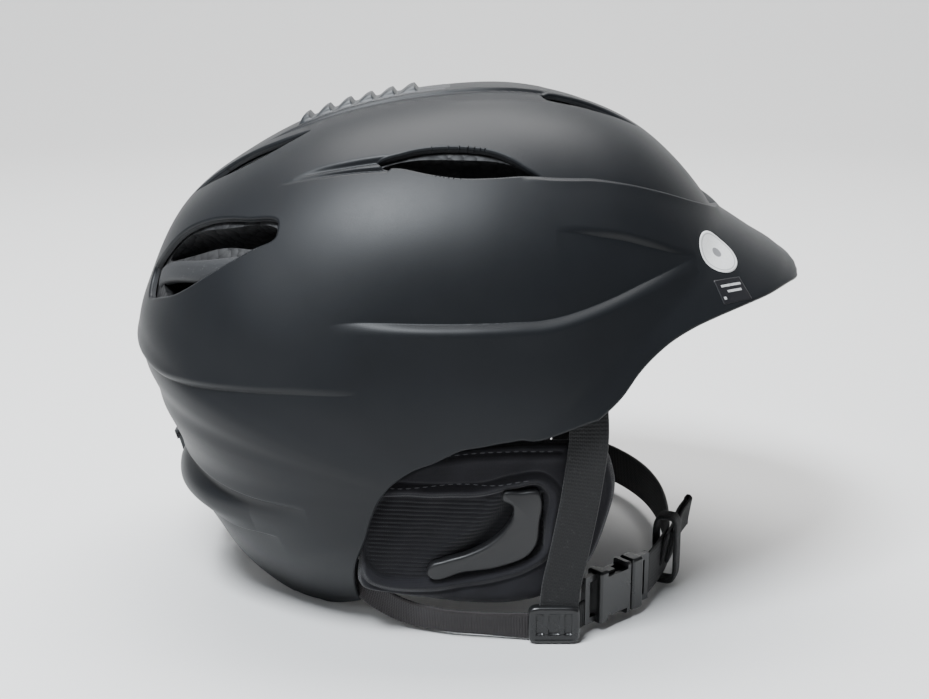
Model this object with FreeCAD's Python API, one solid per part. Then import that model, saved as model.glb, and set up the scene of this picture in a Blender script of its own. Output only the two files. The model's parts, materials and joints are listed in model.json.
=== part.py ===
"""Ski helmet: hard shell with brim, foam liner, pads, fit system, vent slider, goggle flap, ear pads and chin strap.

Millimetres. +X forward, +Y to the wearer's left, +Z up. The origin is at the middle of the footprint.
"""

import FreeCAD, Part
import math
import os

V = FreeCAD.Vector

# Driving dimensions
HUB_X, HUB_Z = -5.0, 60.0  # centre that the shell's directions start from
HALF_WIDTH = 107.0  # shell, at the ears
ROUNDNESS = 2.35  # exponent of the cross-section, 2 is an ellipse
TAPER_TOP_Z = 75.0  # below this height the shell narrows
TAPER = 0.22
SHELL_T = 2.0
EAR_RELIEF_Z = 72.5  # foam is left out below this behind the ear pad, which swings in there
LINER_GAP = 1.4
HEAD_C = V(-16, 0, 90)  # centre of the head space
HEAD_X, HEAD_Y, HEAD_UP, HEAD_DOWN = 98.0, 80.0, 91.0, 130.0
PAD_T = 5.0  # comfort pads
WEB_W, WEB_T = 15.0, 1.6  # strap webbing
SLIDE_SLOPE = math.radians(14.4)  # crown slider's path
DIAL_C = V(-102, 0, 24)
DIAL_R, PINION_R = 12.0, 5.0
TOOTH = 1.0  # rack and pinion tooth height
BUCKLE_C = V(64, -74.5, 14)  # mouth of the buckle socket
BUCKLE_DIR = V(0.74, 0.67, 0)
GAP = 0.35  # running clearance between bodies

# Mid-plane outline of the shell, front to back over the top, as (x, z)
OUTLINE = [
    (136.5, 125), (138.7, 130), (133.5, 136), (122.5, 143), (114.5, 148.2), (107, 153.2), (99.5, 162),
    (88.5, 173.6), (72, 187), (49.6, 197.6), (22, 203.7), (-5, 203.4), (-32, 199.4), (-59.5, 191.8),
    (-89, 177.4), (-116, 156.5), (-130.5, 129.5), (-136.3, 112), (-137, 103), (-134.5, 96), (-129.5, 88),
    (-127, 79.3), (-124, 71.5), (-120.4, 62), (-119.6, 52), (-116.5, 41.5), (-107.5, 23.5), (-100, 10), (-92, 0), (-66, -26),
]
# The foam's outline leaves the hollow brim empty
FOAM_FRONT = [(96.5, 112), (99.5, 122), (100.5, 132), (98.5, 142), (94.5, 152), (88.5, 162)]

# Edges of the shell as (direction angle, angle off the mid-plane), in degrees
FRONT_EDGE = [(0, 24.8), (8, 25.8), (15, 27.8), (21, 29.2), (27, 31.2), (32, 33), (36, 34.4), (42, 35.6), (48, 34.9),
              (53, 32.5), (58, 31)]
EAR_EDGE = [(31, 58), (35, 65), (46, 71), (59, 75), (81, 78), (107, 80), (138, 79), (162, 77),
            (179, 75), (193, 73), (209, 69), (222, 62), (235, 54)]
REAR_EDGE = [(0, 205.5), (14, 207), (27, 213), (40, 225.5), (54, 235)]

# Vent outlines on the right side, as (direction angle, angle off the mid-plane)
SIDE_VENT = [(103, 26), (97, 25.7), (90, 26), (82, 26.6), (76, 28), (73, 29.4), (78, 31.2), (84, 32.3),
             (91, 31.6), (98, 29.4)]
REAR_VENT_TOP = [(145, 14), (138, 18), (131, 23.5), (126, 27.5), (123.5, 31), (127, 32.2), (132, 29.5),
                 (137, 26), (142, 21)]
REAR_VENT_LOW = [(149, 16), (145, 20.5), (141, 26), (137.5, 30), (142, 29), (147, 25.5), (150.5, 20.5)]
TOP_FRONT_VENT = [(76, 4.5), (70, 2), (62, 1.2), (59.5, 2), (64, 6), (70, 8.5), (75, 8)]
TOP_REAR_VENT = [(136, 4), (129, 3.5), (121, 7.5), (114, 10.5), (121, 12.5), (129, 10.5)]

PARTS = {}


def polar(point):
    dx, dz = point[0] - HUB_X, point[1] - HUB_Z
    angle = math.degrees(math.atan2(dz, dx))
    return (angle + 360 if angle < -90 else angle), math.hypot(dx, dz)


class Curve:
    """A smooth curve through (x, y) points with x rising, and level beyond its ends."""

    def __init__(self, points):
        points = sorted(points)
        self.x = [p[0] for p in points]
        self.y = [p[1] for p in points]
        step = [b - a for a, b in zip(self.x, self.x[1:])]
        rise = [(b - a) / h for a, b, h in zip(self.y, self.y[1:], step)]
        inner = [
            (rise[i] * step[i + 1] + rise[i + 1] * step[i]) / (step[i] + step[i + 1])
            for i in range(len(step) - 1)
        ]
        self.slope = [rise[0]] + inner + [rise[-1]]

    def __call__(self, x):
        x = min(max(x, self.x[0]), self.x[-1])
        i = 0
        while i < len(self.x) - 2 and x > self.x[i + 1]:
            i += 1
        h = self.x[i + 1] - self.x[i]
        t = (x - self.x[i]) / h
        return (
            (2 * t**3 - 3 * t**2 + 1) * self.y[i]
            + (t**3 - 2 * t**2 + t) * h * self.slope[i]
            + (3 * t**2 - 2 * t**3) * self.y[i + 1]
            + (t**3 - t**2) * h * self.slope[i + 1]
        )


shell_radius = Curve([polar(p) for p in OUTLINE])
foam_radius = Curve([polar(p) for p in FOAM_FRONT + OUTLINE[8:]])
front_edge = Curve(FRONT_EDGE)
ear_edge = Curve(EAR_EDGE)
rear_edge = Curve(REAR_EDGE)


def surface_point(radius, a, b):
    """Point of a rounded surface in direction a, at b off the mid-plane (b < 0 is the right side)."""
    ar, br = math.radians(a), math.radians(b)
    c, s = math.cos(br), math.sin(br)
    r = ((c / radius(a)) ** ROUNDNESS + (abs(s) / HALF_WIDTH) ** ROUNDNESS) ** (-1 / ROUNDNESS)
    z = HUB_Z + r * c * math.sin(ar)
    k = min(max((TAPER_TOP_Z - z) / TAPER_TOP_Z, 0), 1)
    return V(HUB_X + r * c * math.cos(ar), r * s * (1 - TAPER * k * k), z)


def inset_point(radius, a, b, depth):
    """The surface point moved inwards along the surface's normal."""
    p = surface_point(radius, a, b)
    if depth == 0:
        return p
    along = surface_point(radius, a + 0.5, b) - surface_point(radius, a - 0.5, b)
    across = surface_point(radius, a, b + 0.5) - surface_point(radius, a, b - 0.5)
    normal = along.cross(across)
    normal.normalize()
    if normal.dot(p - V(HUB_X, 0, HUB_Z)) > 0:
        normal = normal * -1
    return p + normal * depth


def head_point(a, b, clearance=0.0):
    """Point on the head space's wall, in the same direction from the hub, less a clearance."""
    ar, br = math.radians(a), math.radians(b)
    d = V(math.cos(br) * math.cos(ar), math.sin(br), math.cos(br) * math.sin(ar))
    hub = V(HUB_X, 0, HUB_Z)
    low, high = 10.0, 200.0
    for _ in range(40):
        mid = (low + high) / 2
        q = hub + d * mid - HEAD_C
        up = (HEAD_UP if q.z > 0 else HEAD_DOWN) - clearance
        inside = (q.x / (HEAD_X - clearance)) ** 2 + (q.y / (HEAD_Y - clearance)) ** 2 + (q.z / up) ** 2 < 1
        low, high = (mid, high) if inside else (low, mid)
    return hub + d * low


def patch_angles(t, s):
    """Directions over the whole shell: t from the front edge to the rear, s from the right ear to the left."""
    ear_a = EAR_EDGE[0][0] + (EAR_EDGE[-1][0] - EAR_EDGE[0][0]) * t
    front = front_edge(abs(s) * FRONT_EDGE[-1][0])
    rear = rear_edge(abs(s) * REAR_EDGE[-1][0])
    return front + (rear - front) * t, s * ear_edge(ear_a)


def grid(point, t_range, s_range, rows, columns):
    return [
        [
            point(
                t_range[0] + (t_range[1] - t_range[0]) * i / (rows - 1),
                s_range[0] + (s_range[1] - s_range[0]) * j / (columns - 1),
            )
            for j in range(columns)
        ]
        for i in range(rows)
    ]


def slab(outer, inner):
    """Closed solid between two point grids of the same size."""
    faces, edges = [], []
    for points in (outer, inner):
        surface = Part.BSplineSurface()
        surface.interpolate(points)
        faces.append(surface.toShape())
        u0, u1, v0, v1 = surface.bounds()
        edges.append([surface.uIso(u0).toShape(), surface.uIso(u1).toShape(),
                      surface.vIso(v0).toShape(), surface.vIso(v1).toShape()])
    for a, b in zip(*edges):
        faces.append(Part.makeRuledSurface(a, b))
    shell = Part.Shell(faces)
    shell.sewShape()
    solid = Part.Solid(shell)
    if solid.Volume < 0:
        solid.reverse()
    solid.fix(0.01, 0.01, 0.01)
    return solid


def box(corner, opposite):
    low = V(*[min(a, b) for a, b in zip(corner, opposite)])
    high = V(*[max(a, b) for a, b in zip(corner, opposite)])
    size = high - low
    return Part.makeBox(size.x, size.y, size.z, low)


def cylinder(centre, axis, radius, length):
    """Cylinder centred on a point."""
    axis = V(axis)
    axis.normalize()
    return Part.makeCylinder(radius, length, centre - axis * (length / 2), axis)


def mirrored(shape):
    return shape.mirror(V(0, 0, 0), V(0, 1, 0))


def put(name, shape):
    PARTS[name] = shape


def put_pair(name, right):
    put(name + "_right", right)
    put(name + "_left", mirrored(right))


def closed_wire(points):
    curve = Part.BSplineCurve()
    curve.interpolate(points, PeriodicFlag=True)
    return Part.Wire([curve.toShape()])


def vent_cutter(outline, shrink=0.0, deep=70):
    """Prism through the wall with a vent's outline, along the wall's average normal; the right side's."""
    points = [surface_point(shell_radius, a, -b) for a, b in outline]
    centre = V(0, 0, 0)
    for p in points:
        centre = centre + p * (1.0 / len(points))
    normal = V(0, 0, 0)
    for a, b in outline:
        normal = normal + (surface_point(shell_radius, a, -b) - inset_point(shell_radius, a, -b, 1))
    normal.normalize()
    flat = []
    for p in points:
        q = p - normal * normal.dot(p - centre)
        inward = centre - q
        flat.append(q + inward * (shrink / max(inward.Length, 1)) - normal * deep)
    face = Part.Face(closed_wire(flat))
    return face.extrude(normal * (deep + 12))


def both(shape):
    return [shape, mirrored(shape)]


def frame_at(origin, direction):
    """Placement whose local X points along a level direction, Z stays up."""
    angle = math.degrees(math.atan2(direction.y, direction.x))
    return FreeCAD.Placement(origin, FreeCAD.Rotation(V(0, 0, 1), angle))


def placed(shape, placement):
    copy = shape.copy()
    copy.Placement = placement.multiply(copy.Placement)
    return copy


def ribbon(path, width_axes, width, thickness):
    """Flat strap lofted through rectangles along a path."""
    wires = []
    for i, (p, w) in enumerate(zip(path, width_axes)):
        before, after = path[max(i - 1, 0)], path[min(i + 1, len(path) - 1)]
        along = after - before
        along.normalize()
        w = w - along * along.dot(w)
        w.normalize()
        n = along.cross(w)
        a, b = w * (width / 2), n * (thickness / 2)
        wires.append(Part.makePolygon([p - a - b, p + a - b, p + a + b, p - a + b, p - a - b]))
    return Part.makeLoft(wires, True, False)


# ---- slider, shown first because the shell is cut for it
SLIDE_DIR = V(math.cos(SLIDE_SLOPE), 0, math.sin(SLIDE_SLOPE))
SLIDE_UP = V(-math.sin(SLIDE_SLOPE), 0, math.cos(SLIDE_SLOPE))
SLIDER_C = V(-41.5, 0, 194.9)  # middle of the button's top plate, on its underside
SLIDER_L, SLIDER_W = 56.0, 17.0
SLIDER_TRAVEL = 7.0
NECK_L, NECK_W = 14.0, 5.0
SLIDER_DEPTH, FLANGE_W, FLANGE_T = 6.0, 22.0, 1.2  # body below the plate, and the flange that keeps it in
RIDGES, RIDGE_PITCH, RIDGE_H, RIDGE_CROWN = 6, 8.8, 1.4, 1.6
RIDGE_BACK, RIDGE_FRONT = 4.2, 4.0  # a ridge's foot behind and ahead of its middle
SHUTTER_L, SHUTTER_W, SHUTTER_T = 52.0, 34.0, 1.5
SHUTTER_DROP = 12.0  # below the button's underside
PORT_L, PORT_W = 6.0, 22.0
PORTS_X = (-18, 18)


def slide_box(x0, x1, y0, y1, z0, z1):
    """Box in the slider's own sloping frame, from SLIDER_C."""
    shape = box((x0, y0, z0), (x1, y1, z1))
    shape.Placement = FreeCAD.Placement(SLIDER_C, FreeCAD.Rotation(V(0, 1, 0), -math.degrees(SLIDE_SLOPE)))
    return shape


def slider_button():
    """Body in the shell's slot, flanged below the shell, with saw-tooth ridges for a gloved finger."""
    half_l, half_w, floor = SLIDER_L / 2, SLIDER_W / 2, -SLIDER_DEPTH
    body = slide_box(-half_l, half_l, -half_w, half_w, floor, 1.2)
    flange = slide_box(-half_l, half_l, -FLANGE_W / 2, FLANGE_W / 2, floor, floor + FLANGE_T)
    neck = slide_box(-NECK_L / 2, NECK_L / 2, -NECK_W / 2, NECK_W / 2, -SHUTTER_DROP, floor + 0.2)
    teeth = []
    for i in range(RIDGES):
        x = (i - (RIDGES - 1) / 2) * RIDGE_PITCH
        top = 1.1 + RIDGE_H + RIDGE_CROWN * (1 - (x / half_l) ** 2)
        tooth = [(x - RIDGE_BACK, 1.1), (x + RIDGE_FRONT - 1.2, top), (x + RIDGE_FRONT, 1.1)]
        corners = [SLIDER_C + SLIDE_DIR * u + SLIDE_UP * w + V(0, 1 - half_w, 0) for u, w in tooth]
        teeth.append(Part.Face(Part.makePolygon(corners + corners[:1])).extrude(V(0, SLIDER_W - 2, 0)))
    return body.fuse([flange, neck] + teeth).removeSplitter()


def vent_shutter():
    low = -SHUTTER_DROP - SHUTTER_T
    plate = slide_box(-SHUTTER_L / 2, SHUTTER_L / 2, -SHUTTER_W / 2, SHUTTER_W / 2, low, -SHUTTER_DROP)
    for x in PORTS_X:
        plate = plate.cut(slide_box(x - PORT_L / 2, x + PORT_L / 2, -PORT_W / 2, PORT_W / 2, low - 1, 0))
    return plate


def shutter_pocket():
    """Room in the foam for the shutter, its neck and its travel, with two ports down to the head."""
    low = -SHUTTER_DROP - SHUTTER_T - 0.5
    reach = max(SHUTTER_L, SLIDER_L) / 2 + 1
    half = SHUTTER_W / 2 + 0.6
    room = [slide_box(-reach, reach + SLIDER_TRAVEL, -half, half, low, 20)]
    for x in PORTS_X:
        room.append(slide_box(x - PORT_L / 2, x + PORT_L / 2, -PORT_W / 2, PORT_W / 2, -60, low + 1))
    return room


def slider_slot():
    half_l, half_w = SLIDER_L / 2 + GAP, SLIDER_W / 2 + GAP
    return slide_box(-half_l, half_l + SLIDER_TRAVEL, -half_w, half_w, -20, 12)


# ---- goggle flap at the back
FLAP_TOP = V(-121.6, 0, 56.5)
FLAP_LOW = V(-114.6, 0, 30.5)
FLAP_W, FLAP_T = 20.0, 2.2


def flap_frame():
    down = FLAP_LOW - FLAP_TOP
    length = down.Length
    down.normalize()
    out = V(0, 1, 0).cross(down)
    if out.x > 0:
        out = out * -1
    return down, out, length


def shell_part():
    def point(depth):
        return lambda t, s: inset_point(shell_radius, *patch_angles(t, s), depth)

    size = ((0, 1), (-1, 1), 57, 45)
    solid = slab(grid(point(0), *size), grid(point(SHELL_T), *size))
    cutters = [slider_slot(), box((-130, -32, -5), (-85, 32, 19))]
    cutters += [cylinder(V(-100, 0, 19), V(1, 0, 0), 24, 60).common(box((-130, -24, 10), (-80, 24, 60)))]
    for outline in (SIDE_VENT, REAR_VENT_TOP, REAR_VENT_LOW, TOP_FRONT_VENT, TOP_REAR_VENT):
        cutters += both(vent_cutter(outline))
    cutters.append(box((-160, -120, -20), (160, 120, 0)))
    return solid.cut(Part.makeCompound(cutters))


def foam_part():
    def outer(t, s):
        return inset_point(foam_radius, *patch_angles(t, s), SHELL_T + LINER_GAP)

    size = ((0.035, 0.97), (-0.95, 0.95), 49, 41)
    solid = slab(grid(outer, *size), grid(lambda t, s: head_point(*patch_angles(t, s)), *size))
    cutters = shutter_pocket() + [box((-140, -38, -20), (-80, 38, 39)), nape_pocket()]
    for outline in (SIDE_VENT, REAR_VENT_TOP, REAR_VENT_LOW, TOP_FRONT_VENT, TOP_REAR_VENT):
        cutters += both(vent_cutter(outline, shrink=2.5, deep=26))
    cutters += both(box((STRAP_TOP.x - 11, -112, 80), (STRAP_TOP.x + 11, STRAP_TOP.y + 4, 116)))
    cutters += both(box((REAR_ANCHOR.x - 9, -112, -5), (REAR_ANCHOR.x + 30, REAR_ANCHOR.y + 4, 40)))
    cutters += both(box((-48, -112, -5), (-8, -50, EAR_RELIEF_Z)))
    return solid.cut(Part.makeCompound(cutters))


def nape_pocket():
    """Below the widest part the foam's inner wall is upright at the back, which leaves room for the fit bands."""
    ellipse = Part.Ellipse(V(HEAD_C.x, 0, -5), 91, 75).toShape()
    column = Part.Face(Part.Wire([ellipse])).extrude(V(0, 0, 45))
    return column.common(box((-140, -100, -10), (-45, 100, 60)))


def comfort_pad(t_range, s_range, rows=9, columns=9):
    """Thin pad lying on the foam's inner face over part of the shell's directions."""
    size = (t_range, s_range, rows, columns)
    return slab(
        grid(lambda t, s: head_point(*patch_angles(t, s), GAP), *size),
        grid(lambda t, s: head_point(*patch_angles(t, s), GAP + PAD_T), *size),
    )


def comfort_pads():
    put("brow_pad", comfort_pad((0.045, 0.13), (-0.6, 0.6), 7, 15))
    put("crown_pad", comfort_pad((0.36, 0.53), (-0.22, 0.22)))
    put_pair("side_pad", comfort_pad((0.24, 0.5), (-0.82, -0.45)))
    put_pair("rear_pad", comfort_pad((0.62, 0.8), (-0.55, -0.12)))


# ---- straps
STRAP_TOP = V(45, -94, 106)
STRAP_PATH = [STRAP_TOP, V(46, -95, 96), V(46.5, -96.4, 84), V(44.5, -96.9, 64), V(40.5, -97.2, 40), V(37, -97.4, 22),
              V(36, -97.5, 11)]
REAR_ANCHOR = V(-56, -65, 27)
REAR_PATH = [REAR_ANCHOR, V(-48, -69.5, 20), V(-39, -76.5, 13.5), V(-27, -85.5, 9), V(-10, -92.5, 7.2), V(8, -95.5, 6.8),
             V(26, -97.4, 6.8)]
DIVIDER_C = V(34, -97.5, 8.5)
RIVET_R = 3.0


def front_strap():
    axes = [V(1, 0, 0)] * 5 + [V(1, 0, 0.15), V(1, 0, 0.2)]
    return ribbon(STRAP_PATH, axes, WEB_W, WEB_T)


def rear_strap():
    axes = [V(0.4, 0, 0.9), V(0.4, 0, 0.9), V(0.3, -0.1, 0.9), V(0.1, -0.3, 1), V(0, -0.4, 1), V(0, -0.4, 1), V(0, -0.2, 1)]
    return ribbon(REAR_PATH, axes, 11, 1.5)


def strap_divider():
    """Oblong slider with slots, where front, rear and chin straps meet."""
    body = box((-9.5, -2.4, -8.5), (10.5, 2.4, 7))
    body = body.makeFillet(1.6, [e for e in body.Edges if abs(e.BoundBox.YLength) > 4])
    return body.translated(DIVIDER_C)


def anchor_rivets():
    pieces = []
    for top, depth in ((STRAP_TOP + V(0, 0, -4), 2.0), (REAR_ANCHOR + V(0, 0, -4), 2.2)):
        pin = cylinder(top, V(0, 1, 0), RIVET_R, depth)
        pieces.append(pin)
    return Part.makeCompound(pieces)


# ---- chin strap and buckle: the buckle's own frame has X along the pull and Z up
BUCKLE_H = 22.0
BUCKLE_T = 8.0
SOCKET_L = 18.0
ARM_Z = 6.2
CHIN_BAND = (5, 23)  # low and high edge of the chin strap
CHIN_PATH = [V(80, -52, 0), V(85.5, -37, 0), V(88, -19, 0), V(89, 0, 0), V(88, 19, 0), V(83.5, 40, 0), V(75, 59, 0),
             V(62, 77, 0), V(45, 94, 0)]


def buckle_frame():
    return frame_at(BUCKLE_C, BUCKLE_DIR)


def buckle_socket():
    """Flat box, hollow from its mouth, with a window in each side that shows the prong's button."""
    h, t = BUCKLE_H / 2, BUCKLE_T / 2
    body = box((-SOCKET_L, -t, -h), (0, t, h))
    body = body.makeFillet(1.2, body.Edges)
    body = body.cut(box((-SOCKET_L + 2.5, -t + 1.6, -h + 2.2), (5, t - 1.6, h - 2.2)))
    body = body.cut(box((-14, -t - 1, -h - 1), (-2.5, t + 1, -h + 2.6)))
    body = body.cut(box((-14, -t - 1, h - 2.6), (-2.5, t + 1, h + 1)))
    bar = box((-SOCKET_L - 6, -1.2, -h + 1), (-SOCKET_L - 3.5, 1.2, h - 1))
    arms = box((-SOCKET_L - 6, -1.2, -h + 1), (-SOCKET_L + 1, 1.2, -h + 3.5))
    arms = arms.fuse(box((-SOCKET_L - 6, -1.2, h - 3.5), (-SOCKET_L + 1, 1.2, h - 1)))
    return placed(body.fuse([bar, arms]).removeSplitter(), buckle_frame())


def buckle_plug():
    """Stem with a guide tongue that enters the socket, and a bar at its far end for the strap."""
    h, t = BUCKLE_H / 2, BUCKLE_T / 2
    head = box((0.6, -t, -h), (7, t, h))
    head = head.makeFillet(1.2, head.Edges)
    tongue = box((-13.5, -1.8, -1.2), (2, 1.8, 1.2))
    bar = box((10.5, -1.2, -h + 1), (13, 1.2, h - 1))
    arms = box((6, -1.2, -h + 1), (13, 1.2, -h + 3.5)).fuse(box((6, -1.2, h - 3.5), (13, 1.2, h - 1)))
    slots = [box((-1, -2.2, side * ARM_Z - 2.6), (3.2, 2.2, side * ARM_Z + 2.6)) for side in (-1, 1)]
    solid = head.fuse([tongue, bar, arms]).removeSplitter()
    return placed(solid.cut(Part.makeCompound(slots)), buckle_frame())


def buckle_prong(side):
    """Sprung arm rooted in the plug's head, with a button that sits in the socket's window."""
    arm = box((-11.5, -1.8, side * ARM_Z - 1.3), (2.6, 1.8, side * ARM_Z + 1.3))
    low, high = sorted((side * ARM_Z, side * (ARM_Z + 3.4)))
    lobe = box((-12.5, -1.8, low), (-8, 1.8, high))
    return placed(arm.fuse(lobe).removeSplitter(), buckle_frame())


def socket_strap():
    """Short webbing from the divider to the socket's bar."""
    frame = buckle_frame()
    end = frame.multVec(V(-SOCKET_L - 2.9, 0, 0))
    start = DIVIDER_C + V(9, 2.5 + WEB_T / 2, 0)
    path = [V(start.x - 8, start.y, 0), start, (start + end) * 0.5, end]
    return level_band([V(p.x, p.y, 0) for p in path], 3, 14, WEB_T)


def level_band(path, low, high, thickness, offset=0.0):
    """Strap on edge: a curve in plan, thickened and raised between two heights."""
    curve = Part.BSplineCurve()
    curve.interpolate(path)
    count = 24
    sides = ([], [])
    first, last = curve.FirstParameter, curve.LastParameter
    for i in range(count + 1):
        u = first + (last - first) * i / count
        p, d = curve.value(u), curve.tangent(u)[0]
        n = V(-d.y, d.x, 0)
        sides[0].append(p + n * (offset + thickness / 2))
        sides[1].append(p + n * (offset - thickness / 2))
    edges = []
    for points in sides:
        line = Part.BSplineCurve()
        line.interpolate(points)
        edges.append(line.toShape())
    a = Part.LineSegment(sides[0][-1], sides[1][-1]).toShape()
    b = Part.LineSegment(sides[1][0], sides[0][0]).toShape()
    face = Part.Face(Part.Wire([edges[0], a, edges[1], b]))
    face.translate(V(0, 0, low))
    solid = face.extrude(V(0, 0, high - low))
    return solid


def chin_strap():
    start = buckle_frame().multVec(V(13.4, 0, 0))
    return level_band([V(start.x, start.y, 0)] + CHIN_PATH, CHIN_BAND[0], CHIN_BAND[1], WEB_T)


def strap_tail():
    """Spare webbing, folded back beside the chin strap and standing out in front of the keeper."""
    path = [V(80, -52, 0), V(85.5, -37, 0), V(89, -27, 0), V(93.5, -20, 0)]
    return level_band(path, 9, 30, 3.2, offset=-2.7)


def strap_keeper():
    """Elastic loop round the chin strap and its tail."""
    outer = box((-4, -6.4, 2.5), (4, 4.0, 31.5))
    inner = box((-5, -5.4, 4.3), (5, 2.8, 30.6))
    ring = outer.cut(inner)
    return placed(ring, frame_at(V(83.2, -44.7, 0), V(0.36, 0.93, 0)))


# ---- fit system at the nape
BAND_T, BAND_H = 1.6, 6.0
HOUSING_HALF = 22.0
RACK_X = (-97.6, -94.6)
BAND_PATH = [V(-95.6, -29.6, 0), V(-92, -33.6, 0), V(-83.6, -37.7, 0), V(-73.8, -44, 0), V(-63, -51, 0), V(-53.6, -56, 0)]
NAPE_PAD_Z = (11, 37)


def dial_housing():
    """Shallow tray open at the front, with slots at both ends for the bands."""
    tray = box((RACK_X[0] - 2, -HOUSING_HALF, DIAL_C.z - 12), (RACK_X[1] + 0.5, HOUSING_HALF, DIAL_C.z + 12))
    tray = tray.makeFillet(4, [e for e in tray.Edges if e.BoundBox.XLength > 4])
    tray = tray.cut(box((RACK_X[0] - 0.5, -HOUSING_HALF - 1, DIAL_C.z - 10), (0, HOUSING_HALF + 1, DIAL_C.z + 10)))
    return tray.cut(cylinder(DIAL_C, V(1, 0, 0), 3.0 + 0.05, 40))


def dial_cover():
    cover = box((RACK_X[1] + 0.5, -HOUSING_HALF, DIAL_C.z - 12), (RACK_X[1] + 2, HOUSING_HALF, DIAL_C.z + 12))
    return cover.makeFillet(4, [e for e in cover.Edges if e.BoundBox.XLength > 1])


def housing_rivets():
    pins = [cylinder(V(RACK_X[1] + 1.9, side * 16, DIAL_C.z + 10.9), V(1, 0, 0), 0.9, 1.6) for side in (-1, 1)]
    return Part.makeCompound(pins)


def toothed_wheel(radius, teeth, height, length, centre):
    """Gear with straight-sided teeth about X."""
    points = []
    for i in range(teeth):
        for fraction, r in ((-0.30, radius - height / 2), (-0.12, radius + height / 2),
                            (0.12, radius + height / 2), (0.30, radius - height / 2)):
            angle = 2 * math.pi * (i + fraction) / teeth
            points.append(centre + V(-length / 2, r * math.sin(angle), r * math.cos(angle)))
    face = Part.Face(Part.makePolygon(points + points[:1]))
    return face.extrude(V(length, 0, 0))


PINION_TEETH = 12


def dial_parts():
    """Knurled dial outside, shaft through the housing, pinion between the racks."""
    knurl = toothed_wheel(DIAL_R, 24, 1.0, 6.5, DIAL_C - V(1.4, 0, 0))
    shaft = cylinder(DIAL_C + V(1.8, 0, 0), V(1, 0, 0), 3.0, 6)
    pinion = toothed_wheel(PINION_R, PINION_TEETH, TOOTH, RACK_X[1] - RACK_X[0] - 0.2,
                           V((RACK_X[0] + RACK_X[1]) / 2, 0, DIAL_C.z))
    pinion = pinion.cut(cylinder(DIAL_C + V(1.8, 0, 0), V(1, 0, 0), 3.0, 6))
    return knurl.fuse(shaft).removeSplitter(), pinion


def fit_band_right():
    """Curved nape band whose toothed end lies above the pinion. It draws inwards along +Y."""
    pitch = 2 * math.pi * PINION_R / PINION_TEETH
    base = DIAL_C.z + PINION_R + TOOTH / 2 + 0.1
    y0, y1 = -31.0, 8.0
    rack = box((RACK_X[0], y0, base), (RACK_X[1], y1, base + 3.0))
    teeth = []
    count = int((y1 - y0) / pitch)
    for i in range(-count, count):
        y = (i + 0.5) * pitch
        if -16 < y < y1 - 1:
            corners = [V(RACK_X[0], y + dy, base + dz) for dy, dz in
                       ((-0.62, 0.05), (-0.22, -TOOTH + 0.1), (0.22, -TOOTH + 0.1), (0.62, 0.05))]
            teeth.append(Part.Face(Part.makePolygon(corners + corners[:1])).extrude(V(RACK_X[1] - RACK_X[0], 0, 0)))
    rack = rack.fuse(teeth)
    band = level_band(BAND_PATH, base - 2.0, base - 2.0 + BAND_H, BAND_T)
    return rack.fuse(band).removeSplitter()


def fit_band_left():
    """The right band turned half round the dial's axis, so its teeth lie below the pinion."""
    band = fit_band_right()
    band.rotate(DIAL_C, V(1, 0, 0), 180)
    return band


def nape_pad():
    """Soft pad on the inside of a band's curved part, on the right side."""
    return level_band(BAND_PATH[2:], *NAPE_PAD_Z, 5, offset=BAND_T / 2 + 2.8)


# ---- ear pads
EAR_OUTER_Y, EAR_INNER_Y = -94.5, -76.0
EAR_OUTLINE = [(-41, 20), (-41.5, 33), (-40.5, 46), (-36, 56), (-29.5, 64.5), (-20.5, 71.5), (-8, 76.5), (6, 78.7), (22, 80),
               (38, 80.3), (52, 79.5), (58, 66), (55, 46), (48, 29), (38, 19), (22, 13.5), (4, 12.8), (-14, 14.8), (-30, 17)]
CLIP_OUTLINE = [(14.5, 60.7), (28.5, 60.7), (26.9, 38.3), (13.6, 30), (-14, 26.7), (-9.4, 32), (9.7, 40.4), (17, 46.5),
                (18, 54.7)]


def ear_wire(scale, y):
    return closed_wire([V(HUB_X + (x - HUB_X) * scale, y, HUB_Z + (z - HUB_Z) * scale) for x, z in EAR_OUTLINE])


def ear_pad():
    wires = [ear_wire(0.90, EAR_OUTER_Y), ear_wire(0.97, EAR_OUTER_Y + 2.5), ear_wire(0.97, EAR_OUTER_Y + 7),
             ear_wire(0.86, EAR_INNER_Y - 4), ear_wire(0.70, EAR_INNER_Y)]
    return Part.makeLoft(wires, True, False)


def ear_pad_clip():
    points = [V(x, EAR_OUTER_Y - 0.02, z) for x, z in CLIP_OUTLINE]
    face = Part.Face(Part.makePolygon(points + points[:1]))
    return face.extrude(V(0, -2.2, 0))


def ear_snap_plate():
    """Stiff strip in the top of the ear pad that plugs into the foam."""
    return box((-6, -86, 70), (34, -84.4, 76))


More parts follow.
